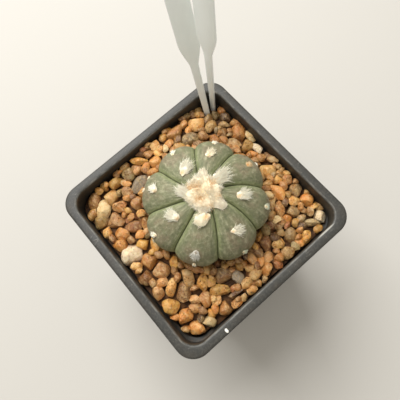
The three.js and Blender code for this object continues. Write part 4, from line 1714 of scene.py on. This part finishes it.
FEATURE_STONES = tuple(
    FeatureStone(x, y, (length, width, height), yaw, StoneColour[colour])
    for x, y, length, width, height, yaw, colour in (
        # Towards the labels.
        (27.5, 7.5, 5.4, 4.4, 3.8, 30, "OCHRE"),
        (29.6, 4.2, 4.8, 2.4, 2.2, 95, "WHITE"),
        (28.6, 13.4, 6.2, 5.4, 4.6, 60, "AMBER"),
        (29.4, 21.4, 4.4, 3.4, 3.6, 110, "DARK"),
        (28.2, 25.2, 3.8, 2.8, 4.4, 60, "OLIVE"),
        (24.6, 25.4, 4.6, 3.8, 3.4, 40, "GREY_TAN"),
        (22.5, 21.6, 5.6, 3.8, 3.4, 20, "TAN"),
        (19.4, 26.2, 6.4, 5.6, 4.8, 10, "TAN"),
        (13.7, 22.6, 6.0, 4.8, 3.8, -10, "OLIVE"),
        (11.2, 28.4, 7.2, 4.4, 4.0, 15, "ORANGE_TAN"),
        (-1.2, 24.4, 4.6, 4.6, 3.6, -40, "ORANGE_TAN"),
        (-5.1, 28.6, 6.1, 2.6, 2.4, -42, "OCHRE"),
        # Along the -X side.
        (-10.9, 27.2, 5.0, 4.6, 3.8, 48, "OLIVE"),
        (-10.4, 22.4, 7.6, 4.9, 4.0, 13, "GREY"),
        (-16.2, 28.2, 5.0, 4.3, 3.6, -40, "OCHRE"),
        (-20.8, 25.6, 5.6, 5.0, 4.0, 48, "TAN"),
        (-26.2, 28.4, 6.0, 4.0, 3.6, 48, "BROWN_TAN"),
        (-25.6, 23.6, 7.0, 4.8, 3.8, 38, "CREAM"),
        (-20.4, 20.6, 4.6, 3.9, 3.4, -40, "ORANGE_TAN"),
        (-15.4, 16.8, 5.2, 4.2, 3.4, 48, "BROWN_TAN"),
        (-25.0, 17.6, 6.2, 5.8, 4.2, -40, "PINK_TAN"),
        (-28.8, 21.2, 5.2, 4.6, 4.0, 0, "OLIVE"),
        (-25.8, 12.4, 4.8, 4.5, 3.6, -30, "ORANGE_TAN"),
        (-20.9, 11.4, 6.4, 3.8, 3.2, -42, "BROWN"),
        (-28.8, 9.8, 5.0, 4.2, 3.6, -50, "ORANGE_TAN"),
        (-22.6, 4.6, 4.2, 4.0, 3.4, 0, "OCHRE"),
        (-27.6, 4.6, 7.6, 6.9, 5.4, 40, "WHITE"),
        (-24.8, -0.8, 5.6, 5.4, 4.0, -30, "AMBER"),
        (-28.8, -4.4, 5.4, 4.8, 4.0, -40, "BROWN"),
        (-23.2, -5.6, 5.6, 5.2, 3.8, -40, "PINK_TAN"),
        (-28.9, -10.6, 4.6, 4.3, 3.6, 20, "PINK_TAN"),
        (-25.0, -12.6, 6.8, 3.0, 2.8, 33, "TAN"),
        (-28.6, -16.6, 5.8, 5.0, 4.0, -30, "OCHRE"),
        (-22.3, -16.2, 6.4, 4.8, 3.8, 48, "BROWN_TAN"),
        # Along the -Y side.
        (-18.4, -13.6, 6.0, 4.2, 3.4, 88, "GREY_TAN"),
        (-15.8, -18.2, 6.0, 3.5, 3.2, 48, "OCHRE"),
        (-9.4, -20.6, 5.8, 5.0, 3.6, -42, "GREY_BROWN"),
        (-12.9, -23.4, 6.6, 3.5, 3.0, -30, "OCHRE"),
        (-6.0, -24.2, 4.8, 3.8, 3.4, 48, "GREY"),
        (-18.6, -22.4, 5.4, 3.9, 3.4, 48, "ORANGE_TAN"),
        (-10.4, -27.6, 5.8, 1.5, 1.5, -11, "DARK"),
        (-15.4, -28.6, 4.7, 4.5, 3.8, 0, "ORANGE_TAN"),
        (-27.0, -22.2, 5.2, 4.4, 3.8, 20, "AMBER"),
        (-26.6, -27.6, 5.4, 5.2, 4.4, 35, "ORANGE_TAN"),
        (-22.2, -28.6, 4.2, 3.5, 3.4, -42, "CREAM"),
        (2.8, -28.4, 4.6, 4.4, 3.6, -40, "ORANGE_TAN"),
        (8.3, -22.4, 5.4, 4.4, 3.6, 48, "BROWN"),
        (11.8, -29.0, 4.8, 3.8, 3.4, 0, "TAN"),
        (16.1, -25.6, 5.2, 3.9, 3.6, 48, "GREY_TAN"),
        (19.8, -29.2, 4.8, 3.2, 3.2, 48, "OCHRE"),
        # Along the +X side.
        (24.8, -27.2, 5.6, 2.6, 2.6, -42, "CREAM"),
        (28.6, -27.2, 4.4, 4.2, 3.6, 70, "WHITE"),
        (22.7, -20.2, 4.4, 4.2, 3.4, -40, "GREY_TAN"),
        (19.4, -16.8, 5.8, 3.8, 3.4, 48, "ORANGE_TAN"),
        (29.0, -20.6, 4.6, 4.4, 3.8, 0, "AMBER"),
        (28.9, -15.6, 5.2, 4.2, 3.8, 48, "GREY_TAN"),
        (23.6, -12.0, 6.4, 4.0, 3.4, 78, "ORANGE_TAN"),
        (29.4, -11.0, 4.0, 3.4, 3.2, -40, "BROWN_TAN"),
        (26.4, -3.6, 6.0, 5.0, 4.0, -40, "TAN"),
    )
)


@dataclass(frozen=True)
class StoneShape:
    """A stone's sizes, turned by its yaw and then tipped."""

    length: float
    width: float
    height: float
    yaw: float
    tilt: float

    def axes(self) -> np.ndarray:
        """Give its three axes as rows."""
        cy, sy, ct, st = math.cos(self.yaw), math.sin(self.yaw), math.cos(self.tilt), math.sin(self.tilt)
        return np.array([(cy, sy, 0), (-sy * ct, cy * ct, st), (sy * st, -cy * st, ct)])

    @cached_property
    def quadric(self) -> np.ndarray:
        """Give the matrix of its ellipsoid.

        Returns:
            The matrix, three by three.
        """
        axes = self.axes()
        weights = np.diag([4 / self.length**2, 4 / self.width**2, 4 / self.height**2])
        return axes.T @ weights @ axes


@dataclass
class Stone:
    """A stone at rest.

    It covers some points of the ground's grid, up to a height over its middle at each, and stands proud of
    the gravel's surface by so much.
    """

    shape: StoneShape
    place: Vector
    colour: StoneColour | None = None
    cells: np.ndarray = field(default_factory=lambda: np.zeros(0, int))
    high: np.ndarray = field(default_factory=lambda: np.zeros(0))
    proud: float = math.inf


@dataclass
class Ground:
    """What the stones come to rest on, at the points of a square grid."""

    cell: float
    cells: int
    level: np.ndarray
    ceiling: np.ndarray
    height: np.ndarray

    def within(self, middle: float, reach: float) -> np.ndarray:
        """Number the grid's lines that lie within reach of a place along one axis.

        Args:
            middle: The place.
            reach: The reach.

        Returns:
            The lines' numbers.
        """
        first = max(math.ceil((middle - reach) / self.cell + self.cells / 2), 0)
        last = min(math.floor((middle + reach) / self.cell + self.cells / 2), self.cells - 1)
        return np.arange(first, last + 1)

    def settle(self, shape: StoneShape, x: float, y: float) -> Stone:
        """Rest a shape on the ground with its middle over a point.

        Args:
            shape: The shape.
            x: The point's X.
            y: Its Y.

        Returns:
            The stone at rest, or one that isn't finitely proud where it can't lie there.
        """
        quadric, reach = shape.quadric, shape.length / 2
        columns, rows = np.meshgrid(self.within(x, reach), self.within(y, reach))
        dx = ((columns - self.cells / 2) * self.cell - x).ravel()
        dy = ((rows - self.cells / 2) * self.cell - y).ravel()
        slope = quadric[0, 2] * dx + quadric[1, 2] * dy
        flat = quadric[0, 0] * dx * dx + 2 * quadric[0, 1] * dx * dy + quadric[1, 1] * dy * dy - 1
        inner = slope * slope - quadric[2, 2] * flat
        under = inner > 0
        found = (rows.ravel() * self.cells + columns.ravel())[under]
        if not len(found):
            return Stone(shape, Vector((x, y, 0.0)))
        root = np.sqrt(inner[under])
        low, high = (-slope[under] - root) / quadric[2, 2], (-slope[under] + root) / quadric[2, 2]
        z = float((self.height[found] - low).max())
        if not math.isfinite(z) or (z + high > self.ceiling[found]).any():
            return Stone(shape, Vector((x, y, 0.0)))
        proud = float((z + high - self.level[found]).max())
        return Stone(shape, Vector((x, y, z)), None, found, high, proud)

    def cover(self, stone: Stone) -> None:
        """Raise the ground over a stone."""
        self.height[stone.cells] = np.maximum(self.height[stone.cells], stone.place.z + stone.high)


@dataclass
class GravelLayer:
    """The top layer: stones dropped one by one round the plant, over a gritty bed.

    It keeps clear of the labels' stems, each given by its place at the rim and its lean. Each swell is a
    place, a rise, which is below 0 for a hollow, and a spread.
    """

    form: PlantForm
    stems: Sequence[tuple[tuple[float, float], tuple[float, float]]]
    lay_seed: int = 20071
    pebble_seed: int = 811
    colour_seed: int = 6173
    half: float = 31.2
    level: float = 61.0
    mound: float = 1.0
    mound_reach: float = 6.0
    bed_depth: float = 2.2
    cell: float = 0.5
    cells: int = 126
    tries: int = 24
    tilt: float = 28.0
    first_layer: float = 3.2
    layers: float = 2.2
    corner: float = 5.5
    collar_step_top: float = 57.0
    collar_inside: float = 31.5
    wall_inside: float = 30.2
    label_room: float = 1.3
    visible_depth: float = 3.0
    classes: tuple[SizeClass, ...] = ((4.4, 6.2, 70), (3.5, 5.0, 330), (2.4, 3.6, 240))
    chips: tuple[SizeClass, ...] = ((3.4, 4.8, 500), (2.6, 3.6, 420), (2.0, 2.8, 300))
    chips_sunk: float = 0.7
    stone_stands: float = 0.4
    chip_stands: float = 0.8
    feature_stands: float = 0.5
    feature_top: float = 0.28
    inward_step: float = 0.005
    plain_pebbles: int = 24
    worn_places: int = 9
    shades: tuple[float, float] = (0.83, 1.13)
    # The bed's dark browns are partly the grit's own colour, partly painted shade in the gaps between the
    # stones.
    bed_mix_and_shade: PottingMix = PottingMix(dark=(62, 40, 22), pale=(112, 74, 38))
    clean_stones: dict[StoneColour, float] = field(
        default_factory=lambda: {StoneColour.WHITE: 0.25, StoneColour.CREAM: 0.5, StoneColour.GREY: 0.5}
    )
    swells: tuple[tuple[float, float, float, float], ...] = (
        (32, 32, -3.6, 8),
        (-32, -32, -5, 8),
        (32, -32, -3.5, 7),
        (-32, 32, -1.5, 8),
        (8, 30, 1.2, 13),
        (32, 4, -1.2, 11),
    )

    def surface(self, x: Numbers, y: Numbers) -> Numbers:
        """Give the gravel's level at points: raised round the plant, with swells and hollows.

        Args:
            x: The points' X.
            y: Their Y.

        Returns:
            The levels.
        """
        from_plant = np.sqrt((x - self.form.x) ** 2 + (y - self.form.y) ** 2) - self.form.radius
        level = self.level + self.mound / (1 + (from_plant / self.mound_reach) ** 2)
        for sx, sy, rise, spread in self.swells:
            level = level + rise * np.exp(-((x - sx) ** 2 + (y - sy) ** 2) / (2 * spread**2))
        return level

    def blocked(self, x: np.ndarray, y: np.ndarray, level: np.ndarray) -> np.ndarray:
        """Tell where no stone can lie: past the pot's wall and at the labels' stems.

        Args:
            x: The points' X.
            y: Their Y.
            level: The gravel's level there.

        Returns:
            Whether each is blocked.
        """
        straight = self.half - self.corner
        over_x, over_y = np.abs(x) - straight, np.abs(y) - straight
        shut = np.hypot(np.maximum(over_x, 0), np.maximum(over_y, 0)) > self.corner
        for at_rim, lean in self.stems:
            back = (RIM_HEIGHT - level) / math.sqrt(1 - lean[0] ** 2 - lean[1] ** 2)
            dx, dy = x - at_rim[0] + back * lean[0], y - at_rim[1] + back * lean[1]
            shut |= np.hypot(dx, dy) < self.label_room
        return shut

    def ground(self) -> Ground:
        """Give the ground before the first stone, shut where none can lie.

        Returns:
            The ground.
        """
        index = np.arange(self.cells * self.cells)
        x = (index % self.cells - self.cells / 2) * self.cell
        y = (index // self.cells - self.cells / 2) * self.cell
        level = self.surface(x, y)
        height = np.where(self.blocked(x, y, level), np.inf, level - self.layers * self.first_layer)
        return Ground(self.cell, self.cells, level, self.form.flank_over(x, y), height)

    def place_feature(self, ground: Ground, feature: FeatureStone) -> Stone:
        """Set a stone that stands out at its place, or further in where something is in its way.

        Args:
            ground: The ground.
            feature: The stone.

        Returns:
            The stone at rest.
        """
        shape = StoneShape(*feature.size, math.radians(feature.yaw), 0)
        inwards = 1.0
        rest = ground.settle(shape, feature.x, feature.y)
        while not math.isfinite(rest.proud):
            inwards -= self.inward_step
            rest = ground.settle(shape, feature.x * inwards, feature.y * inwards)
        surface = float(self.surface(rest.place.x, rest.place.y))
        rest.place.z = surface + self.feature_stands - shape.height / 2
        rest.colour = feature.colour
        ground.cover(rest)
        return rest

    def drawn_shape(self, draw: Draws, smallest: float, largest: float) -> StoneShape:
        """Draw a stone's shape.

        Args:
            draw: Where the draws come from.
            smallest: The smallest mean size.
            largest: The largest.

        Returns:
            The shape.
        """
        mean = draw.between(smallest, largest)
        length = mean * (1.06 + 0.34 * draw())
        width = mean * (0.86 + 0.16 * draw())
        height = mean * (0.58 + 0.3 * draw())
        yaw = 2 * math.pi * draw()
        return StoneShape(length, width, height, yaw, math.radians(self.tilt) * (2 * draw() - 1))

    def fill(
        self, ground: Ground, draw: Draws, classes: Sequence[SizeClass], allowed: float, sunk: float = 0.0
    ) -> list[Stone]:
        """Drop classes of stone. Each comes to rest where it lies deepest under the surface.

        Args:
            ground: The ground.
            draw: Where the draws come from.
            classes: The smallest and largest size and the number of each class.
            allowed: How far over the surface a stone may stand. One that stands higher is left out.
            sunk: How far each is pressed down.

        Returns:
            The stones that are kept.
        """
        kept = []
        for smallest, largest, count in classes:
            for _ in range(count):
                shape = self.drawn_shape(draw, smallest, largest)
                best: Stone | None = None
                for _ in range(self.tries):
                    x, y = 2 * self.half * (draw() - 0.5), 2 * self.half * (draw() - 0.5)
                    rest = ground.settle(shape, x, y)
                    if math.isfinite(rest.proud) and (best is None or rest.proud < best.proud):
                        best = rest
                if best is not None and best.proud - sunk < allowed:
                    best.place.z -= sunk
                    ground.cover(best)
                    kept.append(best)
        return kept

    def lay(self) -> list[Stone]:
        """Place the stones that stand out, fill in between them, and press chips into the gaps.

        Returns:
            The stones that can be seen.
        """
        draw = Draws(self.lay_seed)
        ground = self.ground()
        stones = [self.place_feature(ground, feature) for feature in FEATURE_STONES]
        tops = [stone.cells[stone.high > self.feature_top * stone.shape.height] for stone in stones]
        stones += self.fill(ground, draw, self.classes, -self.first_layer)
        stones += self.fill(ground, draw, self.classes, self.stone_stands)
        ground.height[np.concatenate(tops)] = np.inf
        stones += self.fill(ground, draw, self.chips, self.chip_stands, self.chips_sunk)
        return [stone for stone in stones if self.shows(stone)]

    def shows(self, stone: Stone) -> bool:
        """Tell whether a stone's top comes near enough to the surface to be seen."""
        top = stone.place.z + stone.shape.height / 2
        return top > self.surface(stone.place.x, stone.place.y) - self.visible_depth

    def pebble(self, number: int, fine: bool) -> Piece:
        """Shape one pebble of unit radius: knocked out of round, and worn flat in a few places.

        Args:
            number: Which pebble, as the seed of its shape.
            fine: Whether its mesh is subdivided once more.

        Returns:
            The pebble.
        """
        draw = Draws(self.pebble_seed + 37 * number)
        Bench.clear()
        bpy.ops.mesh.primitive_ico_sphere_add(subdivisions=2, radius=1)
        piece = Bench.named(f"pebble_{number}")
        bpy.ops.object.mode_set(mode="EDIT")
        bpy.ops.mesh.select_all(action="SELECT")
        bpy.ops.transform.vertex_random(offset=0.16, seed=number + 1)
        bpy.ops.mesh.vertices_smooth(factor=0.2)
        bpy.ops.object.mode_set(mode="OBJECT")
        if fine:
            Bench.apply(piece, "SUBSURF", levels=1, render_levels=1)
        rows = Bench.points(piece)
        rows /= np.sqrt((rows**2).sum(axis=1).mean())
        for _ in range(self.worn_places):
            way = np.array([draw.between(-1, 1) for _ in range(3)])
            way /= np.linalg.norm(way)
            over = np.maximum(rows @ way - draw.between(0.56, 0.82), 0)
            rows -= 0.95 * over[:, None] * way
        rows *= 1.14 / np.abs(rows).max(axis=0)
        Bench.set_points(piece, rows)
        return piece

    def heap(self) -> Piece:
        """Copy a pebble to each stone's place, colour it and join them all.

        Returns:
            The stones.
        """
        draw = Draws(self.colour_seed)
        fine = [self.pebble(number, True) for number in range(len(FEATURE_STONES))]
        plain = [self.pebble(number, False) for number in range(self.plain_pebbles)]
        copies = []
        for number, stone in enumerate(self.lay()):
            shape = stone.shape
            source = fine[number % len(fine)] if stone.colour else plain[number % len(plain)]
            copy = source.copy()
            copy.data = source.data.copy()
            bpy.context.scene.collection.objects.link(copy)
            halves = np.array([shape.length, shape.width, shape.height]) / 2
            turned = Matrix((shape.axes() * halves[:, None]).T).to_4x4()
            copy.data.transform(Matrix.Translation(stone.place) @ turned)
            colour = stone.colour or self.common_colour(draw)
            count = len(copy.data.vertices)
            tint = linear(shaded(colour.value, draw.between(*self.shades)))
            Bench.paint(copy, "tint", "FLOAT_COLOR", np.tile(tint, (count, 1)))
            Bench.paint(copy, "shift", "FLOAT_VECTOR", np.tile([draw() for _ in range(3)], (count, 1)))
            Bench.paint(copy, "marked", "FLOAT", np.full(count, self.clean_stones.get(colour, 1.0)))
            copies.append(copy)
        for source in fine + plain:
            bpy.data.objects.remove(source)
        heap = Bench.join(copies, "gravel_stones")
        rows = self.pressed(Bench.points(heap))
        Bench.set_points(heap, rows)
        # How deep each point lies under the surface, which the stone material darkens as dirt and painted
        # shade.
        Bench.paint(heap, "buried", "FLOAT", self.surface(rows[:, 0], rows[:, 1]) - rows[:, 2])
        return heap

    def pressed(self, rows: np.ndarray) -> np.ndarray:
        """Press the points that pass the pot's wall back inside it.

        Args:
            rows: The points.

        Returns:
            The points, all inside the wall.
        """
        half = np.where(rows[:, 2] > self.collar_step_top, self.collar_inside, self.wall_inside)[:, None]
        straight = half - self.corner
        over = np.maximum(np.abs(rows[:, :2]) - straight, 0)
        reach = np.hypot(over[:, 0], over[:, 1])[:, None]
        squeeze = np.minimum(self.corner / np.maximum(reach, self.corner), 1.0)
        flat = np.sign(rows[:, :2]) * (np.minimum(np.abs(rows[:, :2]), straight) + over * squeeze)
        return np.column_stack((flat, rows[:, 2]))

    @staticmethod
    def common_colour(draw: Draws) -> StoneColour:
        """Draw one of the common colours by its share.

        Args:
            draw: Where the draw comes from.

        Returns:
            The colour.
        """
        left = draw()
        for colour, share in COMMON_COLOURS:
            left -= share
            if left <= 0:
                return colour
        return StoneColour.ORANGE_TAN

    def bed(self) -> Piece:
        """Model the gritty bed that shows between the stones.

        Returns:
            The bed.
        """
        Bench.clear()
        bpy.ops.mesh.primitive_grid_add(x_subdivisions=60, y_subdivisions=60, size=2 * self.half - 0.2)
        piece = Bench.named("gravel_bed")
        rows = Bench.points(piece)
        rows[:, 2] = self.surface(rows[:, 0], rows[:, 1]) - self.bed_depth
        rows = self.pressed(rows)
        grit = np.array([noise.noise(Vector((x * 0.9, y * 0.9, 3.1))) for x, y, _ in rows])
        rows[:, 2] = self.surface(rows[:, 0], rows[:, 1]) - self.bed_depth + 0.5 * grit
        Bench.set_points(piece, rows)
        Bench.apply(piece, "SOLIDIFY", thickness=2.0, offset=-1.0)
        Bench.smooth(piece, 40)
        return piece

    def build(self) -> None:
        """Model and dress the stones and the bed."""
        stones = self.heap()
        Bench.smooth(stones, 38)
        Bench.hand_over(stones, "tan_gravel", RiverStone().material(), ["gravel"])
        Bench.hand_over(self.bed(), "potting_mix", self.bed_mix_and_shade.material())


# ---------------------------------------------------------------------------------------------------
# Labels


@dataclass(frozen=True)
class LabelPose:
    """How one label stands where it passes the rim."""

    name: str
    at_rim: tuple[float, float]
    lean: tuple[float, float]
    across: float
    head_above: float


LABEL_POSES = (
    LabelPose("label_left", (26.6, 29.9), (0.097, 0.335), -41, 22.5),
    LabelPose("label_right", (29.5, 28.5), (0.075, 0.122), -77, 28),
)


@dataclass
class Label:
    """A plant label: a head to write on, on a stem that narrows to a point."""

    pose: LabelPose
    thickness: float = 0.7
    head_width: float = 7.0
    head_length: float = 27.0
    shoulder: float = 8.0
    stem_width: float = 2.8
    stem_length: float = 53.0
    tip_width: float = 1.2
    corner: float = 1.5
    tip: float = 0.02
    head_stops: tuple[float, ...] = (7.0, 14.0, 20.0)
    edge: float = 0.16

    def outline(self) -> list[tuple[float, float]]:
        """List half of the outline as (half width, height), from the tip up.

        Returns:
            The points.
        """
        head, stem = self.head_width / 2, self.stem_width / 2
        points = [
            (self.tip, -self.stem_length),
            (self.tip_width / 2, 2 * self.tip_width - self.stem_length),
            (stem, -self.shoulder),
        ]
        ends = ((stem, -1.0), (stem + 0.3, -0.75), (head - 0.2, -0.4), (head, 0.0))
        for step in range(1, 7):
            t = step / 6
            weights = ((1 - t) ** 3, 3 * t * (1 - t) ** 2, 3 * t * t * (1 - t), t**3)
            half = sum(w * end[0] for w, end in zip(weights, ends, strict=True))
            height = self.shoulder * sum(w * end[1] for w, end in zip(weights, ends, strict=True))
            points.append((half, height))
        points += [(head, height) for height in self.head_stops]
        for angle in quarter_turn():
            half = head - self.corner + self.corner * math.cos(angle)
            points.append((half, self.head_length - self.corner + self.corner * math.sin(angle)))
        return points

    def build(self) -> Piece:
        """Model and dress the label.

        Returns:
            The label.
        """
        points = [(half, height, 0) for half, height in self.outline()]
        piece = Bench.trace(self.pose.name + "_plate", points)
        bpy.ops.mesh.extrude_region_move()
        bpy.ops.transform.resize(value=(-1, 1, 1), center_override=(0, 0, 0))
        bpy.ops.object.mode_set(mode="OBJECT")
        Bench.outward(piece)
        Bench.apply(piece, "SOLIDIFY", thickness=self.thickness, offset=0.0)
        sharp = math.radians(50)
        Bench.apply(piece, "BEVEL", width=self.edge, segments=2, limit_method="ANGLE", angle_limit=sharp)
        piece.data.transform(self.stance())
        Bench.smooth(piece, 50)
        return Bench.hand_over(piece, "label_plastic", LabelPlastic().material(), [self.pose.name])

    def stance(self) -> Matrix:
        """Give the frame of the head's foot: X across the label, Y up it.

        Returns:
            The frame.
        """
        lean = self.pose.lean
        upright = Vector((*lean, math.sqrt(1 - lean[0] ** 2 - lean[1] ** 2)))
        across = heading(math.radians(self.pose.across))
        across = (across - across.dot(upright) * upright).normalized()
        foot = Vector((*self.pose.at_rim, RIM_HEIGHT)) + upright * self.pose.head_above
        return framed(foot, across, upright, across.cross(upright))


# ---------------------------------------------------------------------------------------------------
# The studio


@dataclass
class Studio:
    """A plain pale floor, soft light and the camera."""

    floor_colour: Colour = (192, 189, 182)
    sky_colour: Colour = (252, 247, 238)
    sky_strength: float = 0.63
    window: tuple[float, float, float] = (0.06, 0.40, 0.60)
    window_size: float = 0.5
    window_power: float = 6.8
    aim: tuple[float, float, float] = (0.0, 0.0, 0.06)
    eye: tuple[float, float, float] = (-13.56, -26.82, 188.46)
    right: tuple[float, float, float] = (0.7536, -0.6541, -0.0647)
    up: tuple[float, float, float] = (0.6469, 0.7207, 0.2493)
    focal: float = 34.65

    def build(self) -> None:
        """Set up the floor, the lights and the camera."""
        scene = bpy.context.scene
        Bench.clear()
        bpy.ops.mesh.primitive_plane_add(size=4)
        floor = Bench.named("studio_floor")
        graph = Graph("studio_floor")
        floor.data.materials.append(graph.finish(Base_Color=linear(self.floor_colour), Roughness=0.9))
        world = bpy.data.worlds.new("soft_daylight")
        world.use_nodes = True
        sky = world.node_tree.nodes["Background"]
        sky.inputs[0].default_value = linear(self.sky_colour)
        sky.inputs[1].default_value = self.sky_strength
        scene.world = world
        scene.view_settings.view_transform = "Standard"
        self.lamp()
        self.camera()

    def lamp(self) -> None:
        """Hang the square lamp that stands for a window and faces the plant."""
        data = bpy.data.lights.new("window", "AREA")
        data.size = self.window_size
        data.energy = self.window_power
        lamp = bpy.data.objects.new("window", data)
        lamp.location = self.window
        aim = Vector(self.aim) - Vector(self.window)
        lamp.rotation_euler = aim.to_track_quat("-Z", "Y").to_euler()
        bpy.context.scene.collection.objects.link(lamp)

    def camera(self) -> None:
        """Place the camera at the photograph's angle."""
        data = bpy.data.cameras.new("camera")
        data.sensor_width = 36.0
        data.lens = self.focal
        data.clip_start = 0.01
        camera = bpy.data.objects.new("camera", data)
        right, up = Vector(self.right).normalized(), Vector(self.up).normalized()
        camera.matrix_world = framed(Vector(self.eye) * MM, right, up, right.cross(up))
        bpy.context.scene.collection.objects.link(camera)
        bpy.context.scene.camera = camera


def main() -> None:
    """Build every piece in order."""
    logging.basicConfig(level=logging.INFO, format="%(name)s: %(message)s")
    form = PlantForm()
    Studio().build()
    Pot().build()
    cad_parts["soil"].data.materials.clear()
    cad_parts["soil"].data.materials.append(PottingMix().material())
    GravelLayer(form, [(pose.at_rim, pose.lean) for pose in LABEL_POSES]).build()
    Stem(form).build()
    TuftWool(form).build()
    CrownWool(form).build()
    for pose in LABEL_POSES:
        Label(pose).build()


if __name__ == "__main__":
    main()
